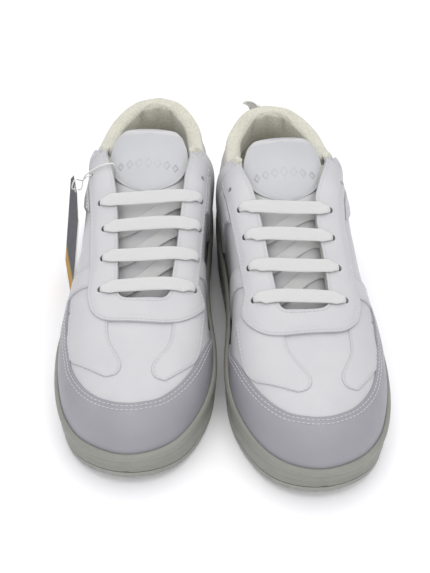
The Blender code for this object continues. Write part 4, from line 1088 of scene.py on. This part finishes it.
def vertices_of(made):
    co = np.empty(len(made.data.vertices) * 3)
    made.data.vertices.foreach_get("co", co)
    return co.reshape(-1, 3)


CLOTH = {
    "quality": 6,
    "mass": 0.25,
    "tension_stiffness": 22,
    "compression_stiffness": 22,
    "shear_stiffness": 8,
    "bending_stiffness": 1.2,
    "use_pressure": True,
    "vertex_group_mass": "held",
}


def inflate(made, pins, pressure, frames, most, scale=5.0):
    """Lets a closed padded piece swell as cloth under pressure, held where pins is 1, and keeps the result.
    It is simulated several times larger than life, where the cloth solver is at its best."""
    mesh = made.data
    rest = vertices_of(made)
    centre = rest.mean(axis=0)
    twin = linked("inflating", mesh.copy())
    twin.data.vertices.foreach_set("co", ((rest - centre) * scale).ravel())
    group = twin.vertex_groups.new(name="held")
    for level in np.unique(np.round(pins, 2)):
        if level > 0:
            group.add(np.flatnonzero(np.round(pins, 2) == level).tolist(), float(level), "REPLACE")
    cloth = twin.modifiers.new("cloth", "CLOTH")
    for key, value in CLOTH.items():
        setattr(cloth.settings, key, value)
    cloth.settings.uniform_pressure_force = pressure
    cloth.settings.effector_weights.gravity = 0
    cloth.collision_settings.use_collision = False
    scene = bpy.context.scene
    for number in range(1, frames + 1):
        scene.frame_set(number)
    swollen = vertices_of(twin.evaluated_get(bpy.context.evaluated_depsgraph_get()))
    moved = swollen / scale + centre - rest
    size = np.linalg.norm(moved, axis=1, keepdims=True)
    moved = moved * np.minimum(1, most * MM / np.maximum(size, 1e-9))
    mesh.vertices.foreach_set("co", (rest + moved).ravel())
    mesh.update()
    bpy.data.objects.remove(twin)
    scene.frame_set(1)


def make_collar():
    """The padded roll round the ankle: knit over foam, sewn down along both edges and at the back."""
    tip = COLLAR_START - 0.012
    nose = tip + 0.012 * np.array([0, 0.02, 0.08, 0.2, 0.4, 0.7])
    half = np.concatenate([nose, np.linspace(COLLAR_START, 1, 101)])
    b = np.concatenate([half, (2 - half[::-1])[1:]])
    rings, pins = [], []
    sides = 56
    for x in b:
        a = float(abs(around(x)))
        q, low = float(QUARTER_TOP(a)) + 0.012, float(LINING_TOP(a)) + 0.012
        swell = min(1.0, 0.25 + (a - COLLAR_START) / 0.1)
        pad = -3.4 - 6.6 * swell
        outline = [
            (q, -0.1),
            (0.6 * q + 0.4, 0.6),
            (0.3 * q + 0.7, 0.9),
            (0.985, 0.2),
            (1.0, -1.7),
            (1.006, 0.5 * pad),
            (0.985, pad + 0.9),
            (0.93, pad - 0.3),
            (0.55 * q + 0.45 * low, pad + 0.2),
            (0.25 * q + 0.75 * low, pad * 0.75),
            (low, -5.0),
            (low, -2.6),
            (0.5 * low + 0.5 * q, -2.0),
        ]
        ring = smooth_through(outline, sides, closed=True)
        seam = bell((1 - a) / 0.004)
        t, h = ring[:, 0], ring[:, 1]
        h = h - 0.9 * seam * (h > -3) + 0.9 * seam * (h < -6)
        full = math.sqrt(max(1e-3, 1 - (1 - min(1.0, (a - tip) / 0.03)) ** 2))
        t = t.mean() + (t - t.mean()) * full
        h = h.mean() + (h - h.mean()) * full
        rings.append(layer(np.full(sides, x), np.minimum(t, 1.004), h))
        hold = bell((t - q) / 0.03) * (h > -2.5) + bell((t - low) / 0.03) + seam
        pins.append(np.clip(hold + (a < COLLAR_START + 0.012), 0, 1))
    points = np.concatenate(rings)
    faces = tube_faces(len(rings), sides)
    wear = bell((1 - np.abs(around(b))) / 0.0035).repeat(sides)
    made = add_piece("collar", points, faces, "cream", wear=wear, sharp=70)
    inflate_by_position(made, points, np.concatenate(pins), 3.0, 14, 1.6)


def inflate_by_position(made, points, pins, pressure, frames, most):
    """Carries pins given for the drawn points over to the piece's joined-up vertices, then inflates it."""
    drawn = np.round(to_world(points) * MM, 6)
    table = {tuple(p): pin for p, pin in zip(drawn.tolist(), pins.tolist())}
    held = np.array([table.get(tuple(v), 0.0) for v in np.round(vertices_of(made), 6).tolist()])
    inflate(made, held, pressure, frames, most)


def make_heel():
    """The leather panel that wraps the heel over the quarters' seam, and the stiffener inside it."""
    collar = np.linspace(COLLAR_START, 1, 60)
    side_foot = np.linspace(station(186), station(208), 20)
    side_head = {sign: np.linspace(station(s), station(199), 20) for sign, s in ((1, 150), (-1, 158))}
    halves = {}
    for sign in (1, -1):
        foot = np.concatenate([side_foot, collar[1:]])
        head = np.concatenate([side_head[sign], collar[1:]])
        low = lip_share(foot) + 0.03
        top = []
        for a in head:
            x = sign * a
            stay = t_below(x, throat_edge_t(x), stay_width(x) + 1.5) if a <= STAY_END else 1.0
            top.append(min(stay, float(QUARTER_TOP(max(a, COLLAR_START))) - 0.05))
        halves[sign] = foot, head, low, np.array(top)
    joined = []
    for k, (lateral, medial) in enumerate(zip(halves[1], halves[-1])):
        back = (2 - medial[::-1])[1:] if k < 2 else medial[::-1][1:]
        joined.append(np.concatenate([lateral, back]))
    b, t = laid_out(*joined, shares(60, 30))
    seams = [("v1", 2.0), ("u0", 2.0), ("u1", 2.0)]
    _, rows = leather_panel("heel_panel", b, t, (-0.25, 1.9), "v1 u0 u1 v0", seams, puff=0.2)
    edge = np.concatenate([collar[12:-1], [1]])
    b = np.concatenate([edge, (2 - edge[::-1])[1:]])
    top = np.array([float(LINING_TOP(abs(x))) - 0.03 for x in around(b)])
    top = top * (0.72 + 0.28 * np.cos(np.linspace(-1.2, 1.2, len(b))))
    b, t = laid_out(b, b, np.full_like(b, 0.06), top, np.linspace(0, 1, 15))
    thin_layer("heel_counter", b, t, STIFFENER, "stiffener")
    return rows


BAND_HEAD = {1: (0.366, 0.404), -1: (0.398, 0.438)}
BAND_FOOT = {1: (0.378, 0.418), -1: (0.452, 0.492)}


def make_side_bands():
    rows = []
    for side, sign in SIDES:
        u = shares(12, 6)
        foot = sign * (BAND_FOOT[sign][0] + (BAND_FOOT[sign][1] - BAND_FOOT[sign][0]) * u)
        head = sign * (BAND_HEAD[sign][0] + (BAND_HEAD[sign][1] - BAND_HEAD[sign][0]) * u)
        top = [t_below(x, throat_edge_t(x), stay_width(x) - 3.0) for x in head]
        b, t = laid_out(foot, head, np.full_like(foot, UPPER_FOOT), top, np.linspace(0, 1, 46))
        seams = [("u0", 1.7), ("u1", 1.7)]
        rows += leather_panel(f"side_band_{side}", b, t, OVERLAY, "u0 u1", seams)[1]
    return rows


STAY_CORNER = {
    1: [(36.5, 97), (34.5, 89), (31, 82), (25, 77), (18, 74.8), (9, 74.3)],
    -1: [(38.5, 98), (37, 91), (33, 84), (26.5, 78), (18, 75.0), (9, 74.3)],
}
THROAT_CORNER = [(16.2, 101), (15.8, 97), (14.2, 93.6), (11.5, 91.8), (8, 91.1), (4, 91)]


def stay_width(b):
    return STAY_WIDTH[FOOT][1 if around(b) > 0 else -1]


def make_eyestay():
    """The facing that carries the eyelets: a U round the throat, drawn in plan round its closed end."""
    share = shares(20, 9)
    legs, corner = [], []
    for sign in (1, -1):
        b = sign * np.linspace(STAY_END + 0.008, station(105), 120)
        inner = np.array([throat_edge_t(x) for x in b])
        outer = np.array([t_below(x, t, stay_width(x)) for x, t in zip(b, inner)])
        grid_b, grid_t = laid_out(b, b, inner, outer, share)
        legs.append((grid_b, grid_t))
        start = last_point(np.array([b[-1]] * 2), np.array([inner[-1], outer[-1]]))[:, :2] * [sign, 1]
        shift = THROAT_SHIFT[FOOT][sign][1]
        throat_corner = [(x + shift * x / 16.2, s) for x, s in THROAT_CORNER]
        wide = 1 + (shift + STAY_WIDTH[FOOT][sign] - 20) / 37
        stay_corner = [(x * wide, s) for x, s in STAY_CORNER[sign]]
        a = smooth_through([start[0], *throat_corner, (0.02, 91)], 90)[1:]
        c = smooth_through([start[1], *stay_corner, (0.02, 74.2)], 90)[1:]
        places = a[:, None] + (c - a)[:, None] * share[None, :, None]
        corner.append(find_on_last(sign * places[..., 0], places[..., 1]))
    order = [legs[0], corner[0], [v[::-1] for v in corner[1]], [v[::-1] for v in legs[1]]]
    b = np.concatenate([part[0] for part in order])
    t = np.concatenate([part[1] for part in order])
    seams = [("v0", 1.9), ("v1", 1.9), ("v1", 4.1)]
    made, rows = leather_panel("eyestay", b, t, EYESTAY, "v0 v1 u0 u1", seams, sewn=2, puff=0.12)
    drill(made, 1)
    drill(made, -1)
    return rows


# ---------------------------------------------------------------- the lacing


def along_foot(out):
    """The way towards the heel, laid into the surface that faces out."""
    return np.array([0.0, 1.0, 0.0]) - out * out[1]


def eyelet_bt(row, sign):
    return [float(v) for v in find_on_last(*eyelet_place(row, sign))]


def eyelet(row, sign):
    """An eyelet's place on the last: its point, and the directions out, across the foot and along it."""
    b, t = eyelet_bt(row, sign)
    point, out = last_point(b, t), last_normal(b, t)
    along = unit(along_foot(out))
    across = np.cross(along, out)
    across = across * (1 if across[0] * sign > 0 else -1)
    return point, out, across, along


HOLE, SPARE_HOLE = 2.3, 1.9


def drill(body, sign):
    """Cuts the eyelet holes of one side through a panel."""
    points, faces = [], []
    turns = circle(20)
    for row in range(len(ROW_S)):
        point, out, across, along = eyelet(row, sign)
        radius = HOLE if row < BARS else SPARE_HOLE
        first = len(points)
        for h in (-9.0, 8.0):
            points += [point + out * h + (across * math.cos(a) + along * math.sin(a)) * radius for a in turns]
        faces += [tuple(first + v for v in f) for f in tube_faces(2, len(turns))]
    world = to_world(np.array(points)) * MM
    one = faces[: len(turns) + 2]
    if signed_volume(world, one) < 0:
        faces = [f[::-1] for f in faces]
    mesh = bpy.data.meshes.new("cutter")
    mesh.from_pydata(world.tolist(), [], faces)
    cutter = linked("cutter", mesh)
    cut = body.modifiers.new("eyelets", "BOOLEAN")
    cut.object = cutter
    cut.solver = "EXACT"
    bpy.context.view_layer.update()
    evaluated = body.evaluated_get(bpy.context.evaluated_depsgraph_get())
    done = bpy.data.meshes.new_from_object(evaluated)
    body.modifiers.clear()
    body.data = done
    done.set_sharp_from_angle(angle=math.radians(40))
    bpy.data.objects.remove(cutter)


class Lace:
    """The lace's route: sections, each a point with the ways of its width and thickness and both sizes."""

    def __init__(self):
        self.sections = []

    def add(self, point, width_way, thick_way, width, thick):
        if self.sections:
            before = self.sections[-1]
            if np.dot(width_way, before[1]) < 0:
                width_way = -width_way
            if np.dot(thick_way, before[2]) < 0:
                thick_way = -thick_way
        self.sections.append((point, width_way, thick_way, width, thick))

    def add_all(self, sections, forwards):
        for section in sections if forwards else sections[::-1]:
            self.add(*section)

    def turn(self, row, sign, down, outward):
        """Through an eyelet: in from the bar and out beneath, or on outwards."""
        point, out, across, along = eyelet(row, sign)
        after = 1 if outward else -1
        low = LACE_LOW
        path = [
            (-4.2, LACE_HIGH - 0.1, 6.9, 1.25, 4),
            (-2.2, LACE_HIGH - 0.1, 5.6, 1.5, 20),
            (-0.7, LACE_HIGH - 0.8, 4.3, 1.8, 52),
            (0.0, LACE_HIGH - 2.3, 3.6, 1.9, 90),
            (0.0, low + 2.6, 3.6, 1.9, 90),
            (0.5 * after, low + 0.9, 4.0, 1.7, 60 if outward else 120),
            (2.0 * after, low, 5.2, 1.4, 20 if outward else 160),
            (4.2 * after, low - 0.4, 7.0, 1.1, 0 if outward else 180),
        ]
        found = []
        for u, h, width, thick, angle in path:
            a = math.radians(angle)
            thick_way = out * math.cos(a) + across * math.sin(a)
            found.append((point + across * u + out * h, along, thick_way, width, thick))
        self.add_all(found, down)

    def on_last(self, x, s, lift, width, thick, skew=0.0, start=1):
        b, t = find_on_last(x if abs(x) > 0.01 else 0.01, s)
        out = last_normal(b, t)
        along = unit(along_foot(out))
        if skew:
            across = np.cross(along, out)
            across = across * (1 if across[0] * start < 0 else -1)
            along = along * math.cos(skew) - across * math.sin(skew)
        self.add(last_point(b, t) + out * lift, along, out, width, thick)

    def bar(self, row, start):
        """The visible run over the tongue; each lies a little differently."""
        ends = start * (eyelet_x(row, start) - 6.2), -start * (eyelet_x(row, -start) - 6.2)
        bow = (0.7, -0.5, 0.4, -0.6)[row]
        for share in np.linspace(0, 1, 15):
            x = ends[0] + (ends[1] - ends[0]) * share
            edge = throat_x(row_s(row, x), 1 if x > 0 else -1) + 1.0
            middle = 4 * share * (1 - share)
            lift = LACE_HIGH - 0.1 - 1.5 * max(0.0, 1 - (x / edge) ** 2)
            width = LACE_WIDTH * (0.96 + 0.07 * middle)
            self.on_last(x, row_s(row, x) + bow * middle, lift, width, LACE_THICK + 0.15)

    def diagonal(self, row, start):
        """The hidden run under the facings, from one row's eyelet to the next row's on the other side."""
        begin, end = start * (eyelet_x(row, start) - 6.9), -start * (eyelet_x(row + 1, -start) - 6.9)
        rise = ROW_S[row + 1] - ROW_S[row]
        for share in np.linspace(0, 1, 11):
            ease = share * share * (3 - 2 * share)
            x = begin + (end - begin) * share
            skew = math.atan2(rise * 6 * share * (1 - share), abs(end - begin))
            s = row_s(row, x) + rise * ease
            self.on_last(x, s, LACE_LOW - 0.4, LACE_WIDTH, LACE_THICK, skew, start)

    def tail(self, row, sign, outgoing):
        """The lace's end, tucked down between the lining and the foot."""
        b, t = eyelet_bt(row, sign)
        found = []
        for distance, width, thick in TAIL:
            lower = t_below(b, t, distance)
            out = last_normal(b, lower)
            along = unit(along_foot(out))
            place = last_point(b, lower) + out * (LACE_LOW - 0.4 - 0.05 * distance)
            found.append((place, along, out, width, thick))
        self.add_all(found, outgoing)


# The lace's end: distance down the rib from the eyelet, width, thickness. The aglet: distance, radius.
TAIL = ((7, 8, 1.3), (11, 8, 1.3), (15, 8, 1.3), (18.5, 4.0, 1.8))
AGLET = ((19, 0.9), (19.2, 1.25), (19.8, 1.45), (23, 1.5), (28.4, 1.45), (29.7, 1.2), (30, 0.8))


def make_lace():
    """One lace: bars over the tongue, a slanting run under each gap, and both ends tucked inside."""
    start = 1 if FOOT == "left" else -1
    lace = Lace()
    lace.tail(0, start, False)
    for row in range(BARS):
        lace.turn(row, start, False, row == 0)
        lace.bar(row, start)
        lace.turn(row, -start, True, row == BARS - 1)
        if row < BARS - 1:
            lace.diagonal(row, -start)
    lace.tail(BARS - 1, -start, True)
    table = np.array([np.concatenate([p, w, h, [a, c]]) for p, w, h, a, c in lace.sections])
    run = run_along(table[:, :3])
    count = int(run[-1] / 1.1)
    fine = spline_table(run, table, np.linspace(0, run[-1], count))
    sides = 16
    turns = circle(sides)
    profile_w = np.sign(np.cos(turns)) * np.abs(np.cos(turns)) ** 0.55
    profile_h = np.sign(np.sin(turns)) * np.abs(np.sin(turns)) ** 0.8
    w = unit(fine[:, 3:6])
    h = unit(fine[:, 6:9] - w * np.sum(fine[:, 6:9] * w, axis=1, keepdims=True))
    half_w, half_h = fine[:, 9] / 2, fine[:, 10] / 2
    across = profile_w[None] * half_w[:, None]
    thick = profile_h[None] * half_h[:, None]
    points = fine[:, None, :3] + w[:, None] * across[..., None] + h[:, None] * thick[..., None]
    length = np.linspace(0, run[-1], count)
    uvs = np.stack([np.repeat(length, sides), across.ravel() + np.where(thick.ravel() > 0, 0, 0.4)], -1)
    add_piece(
        "shoelace", points.reshape(-1, 3), tube_faces(count, sides), "lace", uvs=uvs, sharp=70
    )
    for name, row, sign in (("aglet_lower", 0, start), ("aglet_upper", BARS - 1, -start)):
        b, t = eyelet_bt(row, sign)
        rings = []
        turns = circle(16)
        for distance, radius in AGLET:
            lower = t_below(b, t, distance)
            out = last_normal(b, lower)
            place = last_point(b, lower) + out * (LACE_LOW - 1.7)
            along = along_foot(out)
            rings.append([place + (along * math.cos(a) + out * math.sin(a)) * radius for a in turns])
        points = np.array(rings).reshape(-1, 3)
        add_piece(name, points, tube_faces(len(rings), len(turns)), "aglet")


def spline_table(run, table, places):
    """Rows of a table read along a curve of run, smoothly (Catmull-Rom on uneven knots)."""
    slopes = np.gradient(table, run, axis=0)
    i = np.clip(np.searchsorted(run, places, side="right") - 1, 0, len(run) - 2)
    h = (run[i + 1] - run[i])[:, None]
    return hermite(table, slopes, i, h, (places - run[i])[:, None] / h)


# ---------------------------------------------------------------- the tongue

TONGUE_S = [86, 93, 105, 121, 138, 155, 171, 188, 200, 206.5, 209.5]
TONGUE_HALF = [20, 22, 25, 27, 28, 29, 30.5, 31, 29, 26, 20]
TONGUE_THICK = [1.6, 2.2, 3.6, 5.0, 6.0, 6.8, 7.4, 7.6, 6.8, 5.2, 3.4]
TONGUE_PLAIN_END = 171.0
TONGUE_CLIMB = 0.42
TONGUE_FLARE, TONGUE_FLARE_START = 0.018, 194.0


def tongue_surface(x, s, depth):
    """A point a depth below the tongue's upper face; past the lacing the tongue runs on straight."""
    x, s = np.broadcast_arrays(np.asarray(x, float), np.asarray(s, float))
    inside = np.minimum(s, TONGUE_PLAIN_END)
    near = np.where(np.abs(x) < 0.01, 0.01, x)
    b, t = find_on_last(near, inside)
    out = last_normal(b, t)
    point = last_point(b, t) + out * np.asarray(TONGUE_TOP - depth, float)[..., None]
    point[..., 0] = x + (point[..., 0] - near)
    beyond = s - inside
    point[..., 1] += beyond
    point[..., 2] += beyond * TONGUE_CLIMB + TONGUE_FLARE * np.maximum(0, s - TONGUE_FLARE_START) ** 2
    return point


def tongue_grid(s_values, halves, depths, thicks, rows, columns, crown=0.8):
    """Upper and lower grids of a plate that follows the tongue, with thinner sides."""
    knots = np.linspace(0, 1, len(s_values))
    at = np.linspace(0, 1, rows)
    s, half, depth, thick = [monotone(knots, v)(at)[:, None] for v in (s_values, halves, depths, thicks)]
    share = np.sin(np.linspace(-math.pi / 2, math.pi / 2, columns)) * 0.4 + np.linspace(-1, 1, columns) * 0.6
    edge = np.sqrt(np.clip(1 - np.abs(share) ** 5, 0.03, 1))
    x = half * share
    crowned = depth + crown * share**2
    high = tongue_surface(x, s + 0 * x, crowned + 0.5 * thick * (1 - edge))
    low = tongue_surface(x, s + 0 * x, crowned + thick * (0.5 + 0.5 * edge))
    return high, low


def make_tongue():
    """The tongue: leather over foam, knit beneath, with a sewn badge near its top."""
    zero = [0.0] * len(TONGUE_S)
    high, low = tongue_grid(TONGUE_S, TONGUE_HALF, zero, TONGUE_THICK, 110, 41)
    points, faces = shell(high, low)
    wear = np.zeros(len(points))
    made = add_piece("tongue", points, faces, "tongue", "tongue", wear=wear, sharp=60)
    rows, columns = high.shape[:2]
    r, c = np.meshgrid(np.arange(rows) / (rows - 1), np.abs(np.linspace(-1, 1, columns)), indexing="ij")
    edge = (c > 0.985) | (r > 0.992) | (r < 0.06)
    groove = bell((c - 0.88) / 0.02) * (r < 0.9)
    pins = np.clip(edge + 0.85 * groove, 0, 1).ravel()
    inflate_by_position(made, points, np.concatenate([pins, np.maximum(pins, 0.9)]), 2.4, 14, 1.3)
    halves = np.array(TONGUE_HALF) - 0.8
    thin = [1.0] * len(TONGUE_S)
    high, low = tongue_grid(TONGUE_S, halves, np.array(TONGUE_THICK) + 0.4, thin, 90, 25)
    points, faces = shell(high, low)
    add_piece("tongue_lining", points, faces, "white_knit", "tongue")
    make_badge()


BADGE_S = [165, 168, 174.5, 182, 189.5, 197, 203, 205.8]
BADGE_HALF = [3, 11, 21.5, 27.5, 30, 29.6, 26.5, 21.5]
BADGE_FOOT, BADGE_HEAD = 164.3, 206.8
MARKS_EACH_SIDE, MARK_PITCH, MARK_SIZE, MARK_S = 3, 6.6, 3.4, 187.0


def make_badge():
    """The shield sewn to the tongue, with a raised border and a plain row of lozenges."""
    right = smooth_through([(0.01, BADGE_FOOT), *zip(BADGE_HALF, BADGE_S), (0.01, BADGE_HEAD)], 90)
    share = np.concatenate([np.linspace(0, 0.86, 16), [0.90, 0.93, 0.955, 0.972, 0.985, 0.994, 1.0]])
    centre = np.stack([0 * right[:, 0], right[:, 1]], -1)
    lateral = centre[:, None] + (right - centre)[:, None] * share[None, :, None]
    mirrored = lateral[:, :0:-1] * [-1, 1]
    plan = np.concatenate([mirrored, lateral], axis=1)
    rim = np.concatenate([share[:0:-1], share])[None, :]
    ends = np.minimum(np.arange(90), np.arange(90)[::-1])[:, None] * 0.9
    away = np.minimum((1 - rim) * np.maximum(right[:, :1], 1.0), ends)
    border = 0.21 * bell((away - 2.6) / 0.7)
    high = tongue_surface(plan[..., 0], plan[..., 1], -1.5 + 0.8 * rim**2 + rounded(away, 0.6) + border)
    low = tongue_surface(plan[..., 0], plan[..., 1], -0.5 + 0.8 * rim**2)
    points, faces = shell(high, low)
    wear = np.tile(bell(away / 0.8).ravel(), 2)
    add_piece("tongue_badge", points, faces, "badge", "tongue", wear=wear)
    marks, faces, first = [], [], 0
    for k in range(-MARKS_EACH_SIDE, MARKS_EACH_SIDE + 1):
        size = MARK_SIZE - 0.3 * abs(k)
        x, s = k * MARK_PITCH, MARK_S - 0.25 * k * k
        corner = [(size, 0), (0, size * 1.35), (-size, 0), (0, -size * 1.35)]
        for lift, scale in ((0.35, 1.0), (-0.05, 0.65), (-0.05, 0.88)):
            for dx, ds in corner:
                marks.append(tongue_surface(x + dx * scale, s + ds * scale, np.array(-1.45 + lift)))
        for low, high in ((0, 8), (8, 4), (4, 0)):
            for i in range(4):
                j = (i + 1) % 4
                faces.append(tuple(first + v for v in (low + i, low + j, high + j, high + i)))
        first += 12
    add_piece("badge_mark", np.array(marks), faces, "mark", "tongue", False, sharp=30)


# ---------------------------------------------------------------- the heel tab and the swing tag


TAB_TOP = {"left": 105.5, "right": 96.0}
TAB_LEAN = {"left": -15.0, "right": 0.0}


TAB_HALF, TAB_FOOT = 5.5, 84.0


def make_pull_tab():
    """A folded webbing loop sewn behind the heel's top edge; the left one has flopped over inwards."""
    side = [(290.4, 0), (290.8, 0.3), (290.4, 0.58), (289.0, 0.8), (286.8, 0.96), (284.4, 1)]
    side += [(284.0, 0.94), (286.2, 0.9), (287.8, 0.76), (289.0, 0.56), (289.4, 0.3), (289.0, 0)]
    line = smooth_through(side, 60, closed=True)
    rings = []
    for x in np.linspace(-TAB_HALF, TAB_HALF, 21):
        ring = []
        for s, share in line:
            z = TAB_FOOT + (TAB_TOP[FOOT] - TAB_FOOT - 3.2 * abs(x / TAB_HALF) ** 3) * share
            lean = TAB_LEAN[FOOT] * max(0, share - 0.15) ** 1.4
            ring.append(np.array([x + lean, s - 0.012 * x * x, z - 0.25 * x * share * (lean < 0)]))
        rings.append(ring)
    points = np.array(rings).reshape(-1, 3)
    add_piece("pull_tab", points, tube_faces(21, 60), "webbing", "pull_tab")


TAG_TOP = (48.7, 172.0, 97.0)
TAG_TILT = 9.5
TAG_TURN = 15.5
TAG_SIZE = (93.0, 46.0, 0.8)
TAG_CHAMFER = 13.0
TAG_HOLE = 2.8
TAG_ABOVE_HOLE = 1.5


def tag_frame():
    """The tag's hole, and its directions: down the card, across it and out of its face."""
    tilt, turn = math.radians(TAG_TILT), math.radians(TAG_TURN)
    down = np.array([math.sin(tilt), 0.0, -math.cos(tilt)])
    level, out = np.array([0.0, -1.0, 0.0]), np.array([math.cos(tilt), 0.0, math.sin(tilt)])
    across = level * math.cos(turn) - out * math.sin(turn)
    return np.array(TAG_TOP), down, across, out * math.cos(turn) + level * math.sin(turn)


def make_tag():
    """A chamfered card, printed on both faces, with bare paper edges."""
    top, down, across, face = tag_frame()
    length, width, thick = TAG_SIZE
    edge, side, end = -TAG_ABOVE_HOLE, width / 2, length - 3
    outline = [(edge, TAG_CHAMFER - side), (edge, side - TAG_CHAMFER), (edge + TAG_CHAMFER, side)]
    outline += [(end, side), (end, -side), (edge + TAG_CHAMFER, -side)]
    hole = [(TAG_HOLE * math.cos(a) + 2.5, TAG_HOLE * math.sin(a)) for a in circle(24)]
    bm = bmesh.new()
    rims = []
    for lift in (-thick / 2, thick / 2):
        loops = []
        for ring in (outline, hole):
            places = to_world(np.array([top + down * d + across * a + face * lift for d, a in ring])) * MM
            loops.append([bm.verts.new(p) for p in places])
        edges = [bm.edges.new((r[i], r[(i + 1) % len(r)])) for r in loops for i in range(len(r))]
        bmesh.ops.triangle_fill(bm, edges=edges, use_beauty=True)
        rims.append(loops)
    for k in (0, 1):
        low, high = rims[0][k], rims[1][k]
        for i in range(len(low)):
            j = (i + 1) % len(low)
            f = bm.faces.new((low[i], low[j], high[j], high[i]))
            f.material_index = 1
    bmesh.ops.recalc_face_normals(bm, faces=bm.faces)
    mesh = bpy.data.meshes.new("swing_tag")
    bm.to_mesh(mesh)
    bm.free()
    mesh.materials.append(LOOKS["card"])
    mesh.materials.append(LOOKS["paper"])
    made = linked("right_swing_tag_card", mesh)
    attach(made, "swing_tag")
    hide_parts("right_swing_tag")


def make_tag_string():
    """A closed loop of string through the spare eyelet and the tag's hole."""
    top, down, _, face = tag_frame()
    point, out, side, along = eyelet(SPARE_ROW, 1)
    b, t = eyelet_bt(SPARE_ROW, 1)
    edge = throat_edge_t(b)
    hole = top + down * 2.5

    def on_facing(lift, share, shift):
        """A point between the eyelet (share 0) and the facing's inner edge (share 1)."""
        return layer(np.array([b]), np.array([t + (edge - t) * share]), lift)[0] + along * shift

    knots = [
        hole + face * 2.4 - down * 0.5,
        hole + down * 0.4,
        hole - face * 3.8 + down * 0.2,
        point + out * 5.0 + side * 6.0 + along * 0.8,
        on_facing(4.6, 0.0, 1.6),
        on_facing(4.4, 0.6, 1.4),
        on_facing(3.6, 1.0, 0.8) - side * 1.6,
        on_facing(-1.0, 1.0, 0.3) - side * 2.4,
        on_facing(-5.3, 0.97, 0.0) - side * 0.6,
        on_facing(-5.6, 0.5, 0.0),
        on_facing(-5.2, 0.05, 0.0),
        on_facing(-1.5, 0.0, -0.2),
        on_facing(3.0, 0.0, -0.8),
        point + out * 4.8 + side * 2.2 - along * 1.2,
        point + out * 5.4 + side * 6.5 - along * 1.2,
        top - down * 5.0 + face * 0.9,
    ]
    path = smooth_through(knots, 200, closed=True)
    ahead = unit(np.roll(path, -1, axis=0) - np.roll(path, 1, axis=0))
    side_way = unit(np.cross(ahead, [0.1, 1.0, 0.2]))
    other = np.cross(ahead, side_way)
    wide, high = np.cos(circle(8))[None, :, None], np.sin(circle(8))[None, :, None]
    rings = path[:, None] + 0.5 * (side_way[:, None] * wide + other[:, None] * high)
    faces = tube_faces(200, 8, closed=True)
    add_piece("tag_string", rings.reshape(-1, 3), faces, "string", sharp=80)


# ---------------------------------------------------------------- the stage


FLOOR_HALF = 4.0
WORLD_COLOUR, WORLD_STRENGTH = (0.93, 0.94, 1.0, 1), 0.66
LIGHT_COLOUR = (1.0, 0.985, 0.97)
# Each light: its name, place in metres, size in metres and power in watts.
LIGHTS = (("overhead", (0.0, 0.3, 1.3), 1.9, 14.0), ("front_fill", (0.0, -0.9, 1.0), 1.6, 8.0))
CAMERA_TARGET, CAMERA_ELEVATION, CAMERA_DISTANCE = (0.00196, -0.01024, 0.045), 42.8, 0.600
SENSOR, LENS = 36.0, 54.66


def make_stage():
    """A pale floor, a soft light overhead and a weak, cool one all round."""
    low, _ = CAD_BOX
    mesh = bpy.data.meshes.new("floor")
    corners = [(x * FLOOR_HALF, y * FLOOR_HALF, low.z) for x, y in ((-1, -1), (1, -1), (1, 1), (-1, 1))]
    mesh.from_pydata(corners, [], [(0, 1, 2, 3)])
    floor = linked("floor", mesh)
    look = Look("floor_paper")
    base = look.mix(look.noise(9, 2), (0.95, 0.95, 0.955), (0.96, 0.96, 0.96))
    mesh.materials.append(look.finish(base, 0.9))
    world = bpy.data.worlds.new("studio")
    world.use_nodes = True
    back = world.node_tree.nodes["Background"]
    back.inputs["Color"].default_value = WORLD_COLOUR
    back.inputs["Strength"].default_value = WORLD_STRENGTH
    bpy.context.scene.world = world
    for name, place, size, power in LIGHTS:
        light = bpy.data.lights.new(name, "AREA")
        light.energy = power
        light.size = size
        light.color = LIGHT_COLOUR
        lamp = linked(name, light)
        lamp.location = place
        lamp.rotation_euler = (Vector((0, 0, 0.05)) - Vector(place)).to_track_quat("-Z", "Y").to_euler()
    bpy.context.scene.view_settings.view_transform = "Standard"


def make_camera():
    """The camera looks down at the toes from in front of the pair."""
    elevation = math.radians(CAMERA_ELEVATION)
    back = Vector((0, -math.cos(elevation), math.sin(elevation)))
    data = bpy.data.cameras.new("camera")
    data.sensor_width = SENSOR
    data.lens = LENS
    data.clip_start = 0.01
    camera = linked("camera", data)
    camera.location = Vector(CAMERA_TARGET) + back * CAMERA_DISTANCE
    camera.rotation_euler = (-back).to_track_quat("-Z", "Y").to_euler()
    bpy.context.scene.camera = camera


def main():
    global FOOT
    make_camera()
    for FOOT in ("left", "right"):
        make_outsole()
        make_midsole()
        make_footbeds()
        make_vamp()
        rows = make_toe()
        rows += make_wings()
        make_quarters()
        make_lining()
        make_collar()
        rows += make_heel()
        rows += make_side_bands()
        rows += make_eyestay()
        add_stitching(rows)
        make_lace()
        make_tongue()
        make_pull_tab()
    make_tag()
    make_tag_string()
    make_stage()


main()
